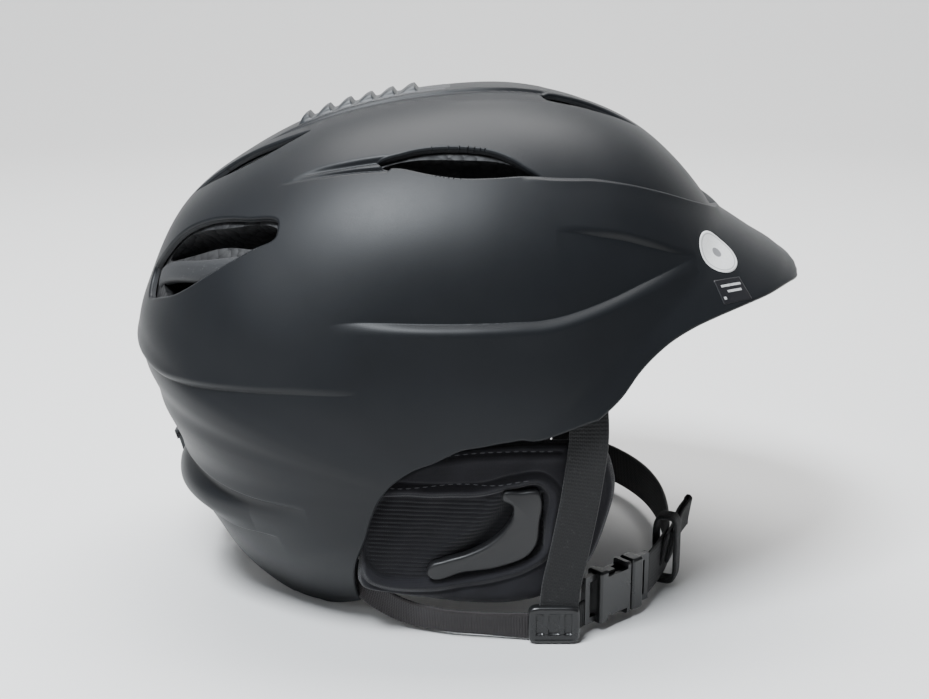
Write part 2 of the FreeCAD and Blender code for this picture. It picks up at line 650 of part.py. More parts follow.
# ---- goggle flap
def goggle_parts():
    down, out, length = flap_frame()
    rotation = FreeCAD.Rotation(out, down.cross(out), down, "XZY")
    place = FreeCAD.Placement(FLAP_TOP, rotation)
    strap = box((0.9, -FLAP_W / 2, 1), (0.9 + FLAP_T, FLAP_W / 2, length + 4))
    strap = strap.makeFillet(4, [e for e in strap.Edges if e.BoundBox.XLength > 2 and e.CenterOfMass.z > 10])
    loop = cylinder(V(1.7, 0, 0), V(0, 1, 0), 2.4, FLAP_W)
    strap = strap.fuse(loop).cut(cylinder(V(1.7, 0, 0), V(0, 1, 0), 1.05, 60)).removeSplitter()
    cap = cylinder(V(0.9 + FLAP_T + 0.6, 0, length), V(1, 0, 0), 4.5, 1.2)
    pin = cylinder(V(1.7, 0, 0), V(0, 1, 0), 1.0, FLAP_W + 9)
    stud = cylinder(V(-1.95, 0, length), V(1, 0, 0), 4.0, 4.9)
    posts = [box((-2.6, side * (FLAP_W / 2 + 0.5), -2), (3, side * (FLAP_W / 2 + 3.5), 2)) for side in (-1, 1)]
    return [placed(p, place) for p in (strap, cap, pin, stud, Part.makeCompound(posts))]


def build():
    put("outer_shell", shell_part())
    put("eps_liner", foam_part())
    comfort_pads()
    put("vent_slider", slider_button())
    put("vent_shutter", vent_shutter())
    put_pair("front_strap", front_strap())
    put_pair("rear_strap", rear_strap())
    put_pair("strap_divider", strap_divider())
    put_pair("strap_rivets", anchor_rivets())
    put("buckle_socket", buckle_socket())
    put("buckle_plug", buckle_plug())
    put("buckle_prong_lower", buckle_prong(-1))
    put("buckle_prong_upper", buckle_prong(1))
    put("socket_strap", socket_strap())
    put("chin_strap", chin_strap())
    put("strap_tail", strap_tail())
    put("strap_keeper", strap_keeper())
    put("dial_housing", dial_housing())
    put("dial_cover", dial_cover())
    put("dial_rivets", housing_rivets())
    dial, pinion = dial_parts()
    put("fit_dial", dial)
    put("dial_pinion", pinion)
    put("fit_band_right", fit_band_right())
    put("fit_band_left", fit_band_left())
    put_pair("ear_pad", ear_pad().cut(ear_snap_plate()))
    put_pair("ear_pad_plate", ear_snap_plate())
    put_pair("ear_pad_clip", ear_pad_clip())
    put_pair("nape_pad", nape_pad())
    flap, cap, pin, stud, posts = goggle_parts()
    put("goggle_flap", flap)
    put("goggle_snap_cap", cap)
    put("goggle_flap_pin", pin)
    put("goggle_snap_stud", stud)
    put("goggle_flap_posts", posts)


build()

os.makedirs("parts", exist_ok=True)
for name, shape in PARTS.items():
    print(name, len(shape.Solids), shape.isValid(), round(shape.Volume), shape.BoundBox)
    shape.exportStep("parts/" + name + ".step")
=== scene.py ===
"""Looks of the ski helmet: a smooth shell with creases and vents, padded ear pieces, webbing and fittings."""

import json
import math

import bmesh
import bpy
import numpy as np
from mathutils import Matrix, Vector


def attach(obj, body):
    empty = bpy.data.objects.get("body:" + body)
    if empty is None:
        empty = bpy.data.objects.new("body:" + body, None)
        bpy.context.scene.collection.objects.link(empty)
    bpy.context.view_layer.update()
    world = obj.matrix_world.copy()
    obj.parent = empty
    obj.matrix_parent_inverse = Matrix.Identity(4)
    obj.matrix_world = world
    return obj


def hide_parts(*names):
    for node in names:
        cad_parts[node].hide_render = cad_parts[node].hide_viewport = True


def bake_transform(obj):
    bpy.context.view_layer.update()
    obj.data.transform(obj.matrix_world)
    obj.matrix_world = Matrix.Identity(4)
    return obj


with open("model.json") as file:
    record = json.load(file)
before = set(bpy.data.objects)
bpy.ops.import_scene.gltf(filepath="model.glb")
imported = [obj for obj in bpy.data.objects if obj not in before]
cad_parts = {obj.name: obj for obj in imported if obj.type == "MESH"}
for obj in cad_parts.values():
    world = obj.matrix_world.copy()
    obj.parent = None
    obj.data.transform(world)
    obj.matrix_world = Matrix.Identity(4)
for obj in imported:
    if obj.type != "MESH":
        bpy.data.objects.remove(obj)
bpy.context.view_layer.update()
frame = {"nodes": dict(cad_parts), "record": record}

MM = 0.001
NODES = frame["nodes"]

# ---------------------------------------------------------------- shell form, as in the part's source, in mm
HUB = np.array([-5.0, 0.0, 60.0])
HALF_WIDTH = 107.0
ROUNDNESS = 2.35
TAPER_TOP_Z, TAPER = 75.0, 0.22  # below this height the sides draw in, by the share at the bottom
SHELL_T = 2.0
MOST_SINK = 2.8  # no crease goes deeper, as the foam lies 3.4 mm below the plain form
OUTLINE = [
    (136.5, 125), (138.7, 130), (133.5, 136), (122.5, 143), (114.5, 148.2), (107, 153.2), (99.5, 162),
    (88.5, 173.6), (72, 187), (49.6, 197.6), (22, 203.7), (-5, 203.4), (-32, 199.4), (-59.5, 191.8),
    (-89, 177.4), (-116, 156.5), (-130.5, 129.5), (-136.3, 112), (-137, 103), (-134.5, 96), (-129.5, 88),
    (-127, 79.3), (-124, 71.5), (-120.4, 62), (-119.6, 52), (-116.5, 41.5), (-107.5, 23.5), (-100, 10),
    (-92, 0), (-66, -26),
]
FRONT_EDGE = [(0, 24.8), (8, 25.8), (15, 27.8), (21, 29.2), (27, 31.2), (32, 33), (36, 34.4), (42, 35.6),
              (48, 34.9), (53, 32.5), (58, 31)]
EAR_EDGE = [(31, 58), (35, 65), (46, 71), (59, 75), (81, 78), (107, 80), (138, 79), (162, 77),
            (179, 75), (193, 73), (209, 69), (222, 62), (235, 54)]
REAR_EDGE = [(0, 205.5), (14, 207), (27, 213), (40, 225.5), (54, 235)]


class Curve:
    """A smooth curve through (x, y) points with x rising, and level beyond its ends."""

    def __init__(self, points):
        self.x, self.y = np.array(sorted(points), float).T
        step, rise = np.diff(self.x), np.diff(self.y) / np.diff(self.x)
        self.slope = np.empty_like(self.y)
        self.slope[1:-1] = (rise[:-1] * step[1:] + rise[1:] * step[:-1]) / (step[:-1] + step[1:])
        self.slope[0], self.slope[-1] = rise[0], rise[-1]

    def __call__(self, x):
        x = np.clip(x, self.x[0], self.x[-1])
        i = np.clip(np.searchsorted(self.x, x) - 1, 0, len(self.x) - 2)
        h = self.x[i + 1] - self.x[i]
        t = (x - self.x[i]) / h
        return (
            (2 * t**3 - 3 * t**2 + 1) * self.y[i]
            + (t**3 - 2 * t**2 + t) * h * self.slope[i]
            + (3 * t**2 - 2 * t**3) * self.y[i + 1]
            + (t**3 - t**2) * h * self.slope[i + 1]
        )


def run_lengths(points):
    """Distance of each point from the first, along the line of points."""
    return np.r_[0, np.cumsum(np.linalg.norm(np.diff(points, axis=0), axis=1))]


def curve_at(points, u, places):
    """Points at the given places of a smooth curve through points that lie at the distances u."""
    return np.stack([Curve(list(zip(u, column)))(places) for column in points.T], 1)


def spline(points, count):
    """Evenly spaced points on a smooth curve through the given ones, in any number of dimensions."""
    points = np.array(points, float)
    u = run_lengths(points)
    return curve_at(points, u, np.linspace(0, u[-1], count))


def closed_line(outline, count=240):
    """Evenly spaced points on a closed smooth curve through the given ones."""
    points = np.array(outline + outline[:3], float)
    u = run_lengths(points)
    return curve_at(points, u, np.linspace(u[1], u[len(outline) + 1], count + 1)[:-1])


def polar(point):
    """Direction and distance of a point of the mid-plane from the hub."""
    dx, dz = point[0] - HUB[0], point[1] - HUB[2]
    angle = math.degrees(math.atan2(dz, dx))
    return (angle + 360 if angle < -90 else angle), math.hypot(dx, dz)


shell_radius = Curve([polar(p) for p in OUTLINE])
front_edge = Curve(FRONT_EDGE)
ear_edge = Curve(EAR_EDGE)
rear_edge = Curve(REAR_EDGE)


def surface(a, b):
    """Points of the plain form in direction a, at b off the mid-plane, in degrees. The right has b < 0."""
    ar, br = np.radians(a), np.radians(b)
    c, s = np.cos(br), np.sin(br)
    r = ((c / shell_radius(a)) ** ROUNDNESS + (np.abs(s) / HALF_WIDTH) ** ROUNDNESS) ** (-1 / ROUNDNESS)
    x = HUB[0] + r * c * np.cos(ar)
    z = HUB[2] + r * c * np.sin(ar)
    k = np.clip((TAPER_TOP_Z - z) / TAPER_TOP_Z, 0, 1)
    return np.stack([x, r * s * (1 - TAPER * k * k), z], -1)


def unit(v):
    return v / np.maximum(np.linalg.norm(v, axis=-1, keepdims=True), 1e-9)


def angles_of(p):
    """Directions of points that lie on or near the plain form."""
    k = np.clip((TAPER_TOP_Z - p[:, 2]) / TAPER_TOP_Z, 0, 1)
    flat = np.hypot(p[:, 0] - HUB[0], p[:, 2] - HUB[2])
    a = np.degrees(np.arctan2(p[:, 2] - HUB[2], p[:, 0] - HUB[0]))
    return np.where(a < -90, a + 360, a), np.degrees(np.arctan2(p[:, 1] / (1 - TAPER * k * k), flat))


def outward(a, b):
    """Unit normals of the plain form."""
    along = surface(a + 0.4, b) - surface(a - 0.4, b)
    across = surface(a, b + 0.4) - surface(a, b - 0.4)
    n = unit(np.cross(along, across))
    return n * np.sign(np.sum(n * (surface(a, b) - HUB), -1, keepdims=True))


def patch_angles(t, s):
    """Directions over the whole shell: t from the front edge to the rear, s from right ear to left."""
    ear_a = EAR_EDGE[0][0] + (EAR_EDGE[-1][0] - EAR_EDGE[0][0]) * t
    front = front_edge(np.abs(s) * FRONT_EDGE[-1][0])
    rear = rear_edge(np.abs(s) * REAR_EDGE[-1][0])
    return front + (rear - front) * t, s * ear_edge(ear_a)


def patch_place(a, b):
    """The inverse of patch_angles, found by repeated substitution."""
    a, b = np.asarray(a, float), np.asarray(b, float)
    t, s = np.full_like(a, 0.5), np.zeros_like(a)
    for _ in range(60):
        ear_a = EAR_EDGE[0][0] + (EAR_EDGE[-1][0] - EAR_EDGE[0][0]) * t
        s = np.clip(b / ear_edge(ear_a), -1, 1)
        front = front_edge(np.abs(s) * FRONT_EDGE[-1][0])
        rear = rear_edge(np.abs(s) * REAR_EDGE[-1][0])
        t = 0.5 * t + 0.5 * np.clip((a - front) / (rear - front), 0, 1)
    return t, s


# ---------------------------------------------------------------- creases: (direction, off mid-plane, depth)
def resampled(points, step=0.5):
    """Points along a smooth line through the given ones, evenly spaced by their first two numbers."""
    points = np.array(points, float)
    u = run_lengths(points[:, :2])
    return curve_at(points, u, np.linspace(0, u[-1], max(int(u[-1] / step), 12)))


def windowed(points, line, margin):
    """Indices of the points in a line's surroundings."""
    low, high = line.min(0) - margin, line.max(0) + margin
    return np.nonzero(np.all((points > low) & (points < high), 1))[0]


def in_lots(indices):
    """Indices in lots small enough for a table of distances."""
    return np.array_split(indices, max(1, len(indices) // 4000)) if len(indices) else []


def nearest_foot(p, line):
    """Nearest point of a polyline to each of the points p, with its segment and share of the segment."""
    gap = p[:, None, :] - line[None]
    near = np.argmin(np.sum(gap * gap, -1), 1)
    best = None
    for first in (np.clip(near - 1, 0, len(line) - 2), np.clip(near, 0, len(line) - 2)):
        run = line[first + 1] - line[first]
        f = np.sum((p - line[first]) * run, 1) / np.maximum(np.sum(run * run, 1), 1e-9)
        f = np.clip(f, 0, 1)[:, None]
        foot = line[first] + f * run
        gap = np.sum((p - foot) ** 2, 1)
        if best is None:
            best = [gap, foot, first, f]
        else:
            closer = gap < best[0]
            best = [np.where(closer, gap, best[0]), np.where(closer[:, None], foot, best[1]),
                    np.where(closer, first, best[2]), np.where(closer[:, None], f, best[3])]
    return best[1], best[2], best[3]


FADED = 4  # widths away from a line at which its effect is gone
END_FADE = 3.0  # mm past the end of a crease over which it fades


class Crease:
    """A step in the shell. Its upper side, or the lower one if flipped, is set in by the line's depth and
    fades back over a width. The other side rolls over towards the line and is raised by a lip."""

    def __init__(self, points, width, lip=0.9, lip_width=5.0, roll=2.6, flat=1, flip=False):
        line = resampled(points)
        self.a, self.b, self.depth = line.T
        self.width, self.lip, self.lip_width, self.roll, self.flat = width, lip, lip_width, roll, flat
        self.p = surface(self.a, self.b)
        self.side = unit(np.cross(outward(self.a, self.b), unit(np.gradient(self.p, axis=0))))
        self.side *= np.where(self.side[:, 2:] * (-1 if flip else 1) >= 0, 1, -1)

    def across(self, p):
        """Signed distance from the line, distance past its ends and the depth there, for points p."""
        foot, i, f = nearest_foot(p, self.p)
        side = unit((1 - f) * self.side[i] + f * self.side[i + 1])
        d = p - foot
        x = np.sum(d * side, 1)
        depth = (1 - f[:, 0]) * self.depth[i] + f[:, 0] * self.depth[i + 1]
        return x, np.sqrt(np.maximum(np.sum(d * d, 1) - x**2, 0)), depth

    def sink(self, p):
        """Depth at points p of the left half."""
        out = np.zeros(len(p))
        for lot in in_lots(windowed(p, self.p, FADED * max(self.width, self.lip_width))):
            x, beyond, depth = self.across(p[lot])
            step = np.clip((x + self.roll) / self.roll, 0, 1) ** 2
            down = step * np.exp(-((np.maximum(x, 0) / self.width) ** self.flat))
            lip_fade = np.exp(-((np.maximum(-x, 0) / self.lip_width) ** 1.5))
            up = self.lip / max(self.depth.max(), 0.1) * (1 - step) * lip_fade
            out[lot] = depth * np.exp(-((beyond / END_FADE) ** 2)) * (down - up)
        return out


class Groove:
    """A round channel in the shell, or a swelling where its depth is negative."""

    def __init__(self, points, width):
        line = resampled(points)
        self.depth = line[:, 2]
        self.p = surface(line[:, 0], line[:, 1])
        self.width = width

    def sink(self, p):
        out = np.zeros(len(p))
        for lot in in_lots(windowed(p, self.p, FADED * self.width)):
            foot, i, f = nearest_foot(p[lot], self.p)
            depth = (1 - f[:, 0]) * self.depth[i] + f[:, 0] * self.depth[i + 1]
            out[lot] = depth * np.exp(-np.sum((p[lot] - foot) ** 2, 1) / self.width**2)
        return out


CREASES = [
    # long side crease, lower panel proud
    Crease([(124, 49.8, 0), (118, 51.4, 0.5), (110, 53.4, 1.2), (101.6, 54.8, 1.7), (85.3, 55.4, 1.9),
            (70.7, 53.5, 2.0), (63.5, 51.5, 2.0), (58.9, 49.2, 2.0), (54.9, 46.2, 2.0), (50.8, 41.8, 1.8),
            (47.6, 37, 1.4), (44.8, 32, 0.8), (42, 26, 0)], 13, lip=1.1, lip_width=8, roll=5.0),
    # spindle above it, whose lower side is set in
    Crease([(68.5, 37.9, 0), (63.9, 36.5, 0.8), (60.2, 35.4, 1.5), (55.9, 33.7, 1.9), (50.6, 31.5, 1.6),
            (45.7, 28.9, 0.8), (42.2, 26.2, 0)], 9, lip=0.4, lip_width=5, roll=3.2, flip=True),
    # from the side vent to the brim notch, dome set in
    Crease([(77.5, 30.6, 0), (76, 30, 0.5), (72, 29.1, 1.1), (68.6, 28, 1.3), (65.8, 26.8, 1.4),
            (60.2, 24.5, 1.6), (54.2, 21.2, 1.9), (47.8, 16.1, 2.2), (43, 9, 2.3), (41, 0, 2.3)],
           13, lip=0.9, lip_width=4, roll=2.4),
    # rear lip, lower panel set in
    Crease([(161, 0, 1.2), (162.3, 20, 1.2), (161.9, 28, 1.3), (160.4, 33.4, 1.5), (158, 39, 1.5),
            (154.6, 44.4, 1.3), (149.9, 50, 1.0), (143.9, 55, 0.7), (135.6, 59.9, 0.3), (129, 62.3, 0)],
           7, lip=0.8, lip_width=5, roll=3.0, flip=True),
    # overhang above the collar
    Crease([(180, 0, 5), (180.3, 15, 5.5), (181.2, 25, 6), (182, 31, 6), (183, 36.8, 5.5),
            (184.1, 43.2, 4.5), (185, 49, 3.0), (185.6, 54.4, 1.6), (186.1, 60.5, 0)],
           4.5, lip=0.6, lip_width=9, roll=2.6, flat=2, flip=True),
    # lobe that stands out below it
    Groove([(186.6, 11, -4.0), (187.2, 22, -4.4), (188.2, 30, -3.8), (189.8, 38, -2.2), (191.2, 46, 0)], 6.2),
    # fullness of the panel between the rear lip and the overhang
    Groove([(169, 0, -1.4), (169.5, 20, -1.4), (170.5, 35, -1.2), (172, 48, -0.7), (174, 60, 0)], 12),
    # low ledge
    Crease([(193, 31, 0), (194.3, 35.4, 1.4), (195.3, 37.7, 1.8), (196.2, 41, 1.8), (197.3, 46.2, 1.2),
            (198.5, 51, 0)], 5, lip=0.6, roll=2, flip=True),
    # sides of the crown strip, and the near edge of the trough outside it
    Crease([(122, 4.6, 0), (116, 4.8, 0.8), (106, 5.0, 1.2), (97, 5.0, 1.5), (90, 5.0, 1.6), (82, 4.6, 1.6),
            (76, 3.6, 1.5)], 9, lip=0.3, roll=1.6, flip=True),
    Crease([(99, 7.6, 0), (94, 9.3, 0.8), (91.7, 10.5, 1.1), (88.9, 11.4, 1.3), (85.1, 11.6, 1.4),
            (81.2, 11.3, 1.4), (77.2, 10.4, 1.2), (73.5, 9.2, 0.8), (69.6, 8.4, 0)],
           8, lip=0.5, lip_width=4, roll=2.0),
    # tails behind the side vent
    Groove([(101.5, 26.0, 2.0), (109, 25, 1.6), (113, 24.3, 1.0), (118, 23.6, 0)], 1.3),
    Groove([(101.5, 28.0, 1.4), (110, 26.2, 1.0), (116, 24.6, 0.5), (121, 23, 0)], 0.8),
]


def fold(a, b):
    """Points of the plain form, turned over onto the left half where the creases are drawn."""
    return surface(a, np.abs(b))


def sink_depth(a, b):
    """How far the creased shell lies inside the plain form, in mm."""
    p = fold(a, b)
    return sum((crease.sink(p) for crease in CREASES), np.zeros(len(p)))


def shell_points(a, b):
    sink = sink_depth(a, b)
    sink = np.where(sink > 0, MOST_SINK * np.tanh(sink / MOST_SINK), sink)
    return surface(a, b) - outward(a, b) * sink[:, None]


def shell_normals(a, b):
    along = shell_points(a + 0.12, b) - shell_points(a - 0.12, b)
    across = shell_points(a, b + 0.12) - shell_points(a, b - 0.12)
    n = unit(np.cross(along, across))
    return n * np.sign(np.sum(n * outward(a, b), -1, keepdims=True))


# ---------------------------------------------------------------- vents: outlines as directions
VENTS = {
    "side": [(103.5, 26.2), (98.3, 24.9), (90, 24.8), (82.5, 25.9), (76.5, 28.1), (73.2, 29.5), (77, 30.5),
             (82, 31.5), (88.3, 31.7), (94, 30.6), (99, 28.7), (102.8, 27.3)],
    "rear": [(149.4, 11), (144.2, 13.8), (138.8, 16.8), (133.6, 20.4), (127.9, 25.4), (122.8, 30.2),
             (124.4, 32.4), (130, 32), (135, 31.1), (140.5, 29.4), (144.5, 27.4), (147.6, 25), (150.8, 20.5),
             (153, 15.2)],
    "top_front": [(76, 4.5), (70, 2), (62, 1.2), (59.2, 2), (64, 6.2), (70, 8.6), (75, 8)],
    "top_rear": [(136.5, 4), (129, 3.3), (121, 7.3), (113.5, 10.5), (121, 12.8), (129, 10.8)],
}
SLIDER_OPENING = [(116.6, -3.55), (116.6, 3.55), (104, 3.6), (90.85, 3.6), (90.85, -3.6), (104, -3.6)]
# notch round the fit dial, as (y, z)
NOTCH_HALF, NOTCH_FOOT_Z, NOTCH_R, NOTCH_ARC_Z = 32, -12, 24, 19
DIAL_NOTCH = [
    (-NOTCH_HALF, NOTCH_FOOT_Z), (-NOTCH_HALF, NOTCH_ARC_Z),
    *[(-NOTCH_R * math.cos(g), NOTCH_ARC_Z + NOTCH_R * math.sin(g)) for g in np.linspace(0, math.pi, 25)],
    (NOTCH_HALF, NOTCH_ARC_Z), (NOTCH_HALF, NOTCH_FOOT_Z),
]
# bar across the rear vent, between two lines
REAR_BAR = ([(147.5, 13.5), (146, 15.5), (139, 25.5), (129, 33), (127.5, 34)],
            [(150.5, 15.5), (149, 17), (143.5, 26), (139.5, 31), (138, 32)])
# the bar's cross-section: share of the way between the lines, and depth below the plain form
REAR_BAR_PROFILE = [(0.0, 6.0), (-0.03, 3.6), (0.03, 2.5), (0.12, 2.0), (0.35, 1.8), (0.65, 1.8), (0.88, 2.0),
                    (0.97, 2.5), (1.03, 3.6), (1.0, 6.0)]


def inside(points, polygon):
    """Which points lie in a closed polygon."""
    x, y = points[:, 0], points[:, 1]
    hit = np.zeros(len(points), bool)
    for (x0, y0), (x1, y1) in zip(polygon, np.roll(polygon, -1, 0)):
        crosses = (y0 > y) != (y1 > y)
        at = x0 + (y - y0) * (x1 - x0) / (y1 - y0 if y1 != y0 else 1e-9)
        hit ^= crosses & (x < at)
    return hit


def nearest_on(points, polygon):
    """Distance to a closed polygon, and the nearest point on it."""
    start, run = polygon, np.roll(polygon, -1, 0) - polygon
    d = points[:, None] - start[None]
    f = np.clip(np.sum(d * run, -1) / np.maximum(np.sum(run * run, -1), 1e-12), 0, 1)
    foot = start + f[..., None] * run
    gap = np.linalg.norm(points[:, None] - foot, axis=-1)
    i = np.argmin(gap, 1)
    return gap[np.arange(len(points)), i], foot[np.arange(len(points)), i]


# ---------------------------------------------------------------- mesh helpers
def new_object(name, verts, faces, material=None, scale=MM, smooth=True):
    mesh = bpy.data.meshes.new(name)
    mesh.from_pydata((np.asarray(verts, float) * scale).tolist(), [], [list(map(int, f)) for f in faces])
    mesh.validate()
    mesh.update()
    obj = bpy.data.objects.new(name, mesh)
    bpy.context.scene.collection.objects.link(obj)
    if material:
        mesh.materials.append(material)
    mesh.polygons.foreach_set("use_smooth", [smooth] * len(mesh.polygons))
    return obj


def piece(obj, body, replaced=()):
    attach(obj, body)
    if replaced:
        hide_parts(*replaced)
    return obj


SHELL_ROWS, SHELL_COLUMNS = 236, 216
VENT_WINDOW = 3.0  # degrees round a vent's outline in which faces are looked at
FINE_NEAR = 0.9  # degrees from a vent's outline within which the mesh is refined
FINE_STEPS = (4.5, 2.6)  # mm from a crease within which it is refined, once for each number
SLIGHT = 0.15  # mm of depth below which a crease needs no refining
VENT_EDGE_R, VENT_WALL = 1.3, (0.5, 1.3)  # rounding of a vent's edge, and rings of the wall below it
LIP_RINGS = (1.5, 3.5, 6.5, 10, 14, 18)  # mm in from the rim, on the shell's inner face
LOWEST_Z = 0.2


def face_angles(faces):
    """Directions of the middles of the flat shell's faces."""
    centre = np.array([f.calc_center_median()[:2] for f in faces])
    return np.stack(patch_angles(centre[:, 0], centre[:, 1]), 1)


def rear_outline(points):
    """(a, b) of a closed outline drawn on the back of the shell as (y, z)."""
    sides = zip(points, points[1:] + points[:1])
    points = np.concatenate([np.linspace(p, q, 8, endpoint=False) for p, q in sides])
    # from low on the rear, each point moves by a share of its miss, in degrees for each mm
    a, b = np.full(len(points), 200.0), np.zeros(len(points))
    for _ in range(40):
        p = surface(a, b)
        a = a - (points[:, 1] - p[:, 2]) * 0.35
        b = b + (points[:, 0] - p[:, 1]) * 0.4
    return np.stack([a, b], 1)


def flat_shell():
    """Shell mesh in (t, s), with holes for the vents whose edges follow the outlines."""
    bm = bmesh.new()
    rows = [[bm.verts.new((t, s, 0)) for s in np.linspace(-1, 1, SHELL_COLUMNS)]
            for t in np.linspace(0, 1, SHELL_ROWS)]
    for above, below in zip(rows, rows[1:]):
        for j in range(SHELL_COLUMNS - 1):
            bm.faces.new((above[j], above[j + 1], below[j + 1], below[j]))
    polygons = [closed_line(outline, 160) * [1, sign] for outline in VENTS.values() for sign in (-1, 1)]
    sides = zip(np.array(SLIDER_OPENING), np.roll(SLIDER_OPENING, -1, 0))
    polygons.append(np.concatenate([np.linspace(p, q, 30, endpoint=False) for p, q in sides]))
    polygons.append(rear_outline(DIAL_NOTCH))
    for reach in FINE_STEPS:
        faces = list(bm.faces)
        at = face_angles(faces)
        marked = set()
        for polygon in polygons:
            near = windowed(at, polygon, VENT_WINDOW)
            gap, _foot = nearest_on(at[near], polygon)
            marked.update(near[gap < FINE_NEAR])
        middle = fold(*at.T)
        for crease in CREASES:
            for lot in in_lots(windowed(middle, crease.p, 4)):
                d = middle[lot][:, None] - crease.p[None, np.abs(crease.depth) > SLIGHT]
                marked.update(lot[np.sum(d * d, -1).min(1) < reach**2])
        edges = list({e for i in marked for e in faces[i].edges})
        bmesh.ops.subdivide_edges(bm, edges=edges, cuts=1, use_grid_fill=True)
    faces = list(bm.faces)
    at = face_angles(faces)
    rims, gone = [], []
    for polygon in polygons:
        near = windowed(at, polygon, VENT_WINDOW)
        hit = [faces[i] for i in near[inside(at[near], polygon)]]
        gone += hit
        rims.append({v for f in hit for v in f.verts})
    bmesh.ops.delete(bm, geom=gone, context="FACES")
    for polygon, rim in zip(polygons, rims):
        rim = [v for v in rim if v.is_valid and v.is_boundary]
        a, b = patch_angles(*np.array([v.co[:2] for v in rim]).T)
        _gap, foot = nearest_on(np.stack([a, b], 1), polygon)
        for v, t, s in zip(rim, *patch_place(foot[:, 0], foot[:, 1])):
            v.co.x, v.co.y = t, s
    bm.verts.index_update()
    place = np.array([v.co[:2] for v in bm.verts])
    faces = [[v.index for v in f.verts] for f in bm.faces]
    bm.free()
    return place, faces


def border_loops(faces):
    """Closed borders of a mesh as lists of vertex indices, in the order of their faces."""
    count = {}
    for f in faces:
        for u, v in zip(f, f[1:] + f[:1]):
            count[(u, v)] = count.get((u, v), 0) + 1
    follow = {v: u for (u, v) in count if (v, u) not in count}
    loops = []
    while follow:
        start, at = next(iter(follow.items()))
        loop = [start]
        del follow[start]
        while at != start and at in follow:
            loop.append(at)
            at = follow.pop(at)
        loops.append(loop)
    return loops


def add_rings(verts, faces, loop, rings):
    """Joins successive rings of points to a border loop."""
    last = list(loop)
    for ring in rings:
        first = len(verts)
        verts.extend(ring)
        now = list(range(first, first + len(ring)))
        for k in range(len(now)):
            m = (k + 1) % len(now)
            faces.append([last[k], last[m], now[m], now[k]])
        last = now


def rolled(p, n, e, radius, turn, steps):
    """Rings of a round edge that leaves the surface smoothly and turns in."""
    angles = [turn * (k + 1) / steps for k in range(steps)]
    return [p + e * (radius * math.sin(g)) - n * (radius * (1 - math.cos(g))) for g in angles]


def shell_mesh(material, cut_material):
    """The shell's outer face with a rolled rim, a short inner face and the cut walls of its vents."""
    place, faces = flat_shell()
    a, b = patch_angles(place[:, 0], place[:, 1])
    p = shell_points(a, b)
    n = outward(a, b)
    verts = list(p)
    loops = border_loops(faces)
    rim = max(loops, key=len)
    cut_faces = []
    for loop in loops:
        q, m = p[loop], n[loop]
        along = unit(np.roll(q, -1, 0) - np.roll(q, 1, 0))
        e = np.cross(m, along)
        if loop is rim:
            e *= np.sign(np.mean(np.sum(e * (q - p.mean(0)), 1)))
            rings = rolled(q, m, e, SHELL_T / 2, math.pi, 6)
            for reach in LIP_RINGS:
                at = angles_of(q - e * reach)
                rings.append(shell_points(*at) - outward(*at) * SHELL_T)
            add_rings(verts, faces, loop, rings)
        else:
            e *= np.sign(np.mean(np.sum(e * (q.mean(0) - q), 1)))
            rings = rolled(q, m, e, VENT_EDGE_R, math.pi / 2, 5)
            add_rings(verts, faces, loop, rings)
            first = len(verts) - len(loop)
            start = len(faces)
            add_rings(verts, faces, list(range(first, len(verts))), [rings[-1] - m * d for d in VENT_WALL])
            cut_faces += range(start, len(faces))
    verts = [(x, y, max(z, LOWEST_Z)) for x, y, z in verts]
    obj = new_object("outer_shell_skin", verts, faces, material)
    obj.data.materials.append(cut_material)
    for i in cut_faces:
        obj.data.polygons[i].material_index = 1
    normals = np.array([v.vector for v in obj.data.vertex_normals])
    normals[:len(place)] = shell_normals(a, b)
    obj.data.normals_split_custom_set_from_vertices(normals.tolist())
    return obj


def rear_bar(side, material):
    """The bar in the rear vent, set in below the shell."""
    u = np.linspace(0, 1, 40)
    rail = [curve_at(np.array(line, float), np.linspace(0, 1, len(line)), u) for line in REAR_BAR]
    verts = []
    for across, depth in REAR_BAR_PROFILE:
        a, b = ((1 - across) * rail[0] + across * rail[1]).T
        b = b * side
        verts.extend(surface(a, b) - outward(a, b) * depth)
    faces = grid_faces(len(REAR_BAR_PROFILE), len(u))
    return new_object("rear_vent_bar_" + ("left" if side > 0 else "right"), verts, faces, material)


# ---------------------------------------------------------------- soft goods: shared forms
def cloth_map(obj, values):
    """Keeps each point's place on the flat cloth, in mm, for the weave: along, across and a third value."""
    attribute = obj.data.attributes.new("cloth", "FLOAT_VECTOR", "POINT")
    attribute.data.foreach_set("vector", np.asarray(values, np.float32).ravel())
    return obj


def outward_faces(obj):
    bm = bmesh.new()
    bm.from_mesh(obj.data)
    bmesh.ops.recalc_face_normals(bm, faces=bm.faces)
    bm.to_mesh(obj.data)
    bm.free()
    return obj


def grid_faces(rows, columns, first=0, closed=False):
    """Quads of a grid of points, whose columns may join up."""
    wrap = columns if closed else columns - 1
    return [(first + i * columns + j, first + i * columns + (j + 1) % columns,
             first + (i + 1) * columns + (j + 1) % columns, first + (i + 1) * columns + j)
            for i in range(rows - 1) for j in range(wrap)]


def border_line(rows, columns):
    """Indices round the border of a grid of points."""
    last = rows * columns - 1
    return ([k for k in range(columns)] + [columns * (r + 1) - 1 for r in range(1, rows)]
            + [last - k for k in range(1, columns)] + [columns * (rows - 1 - r) for r in range(1, rows - 1)])


def rim_faces(rows, columns):
    """Faces that join the borders of two grids of points, one stored after the other."""
    line, count = border_line(rows, columns), rows * columns
    return [(a, b, b + count, a + count) for a, b in zip(line, line[1:] + line[:1])]


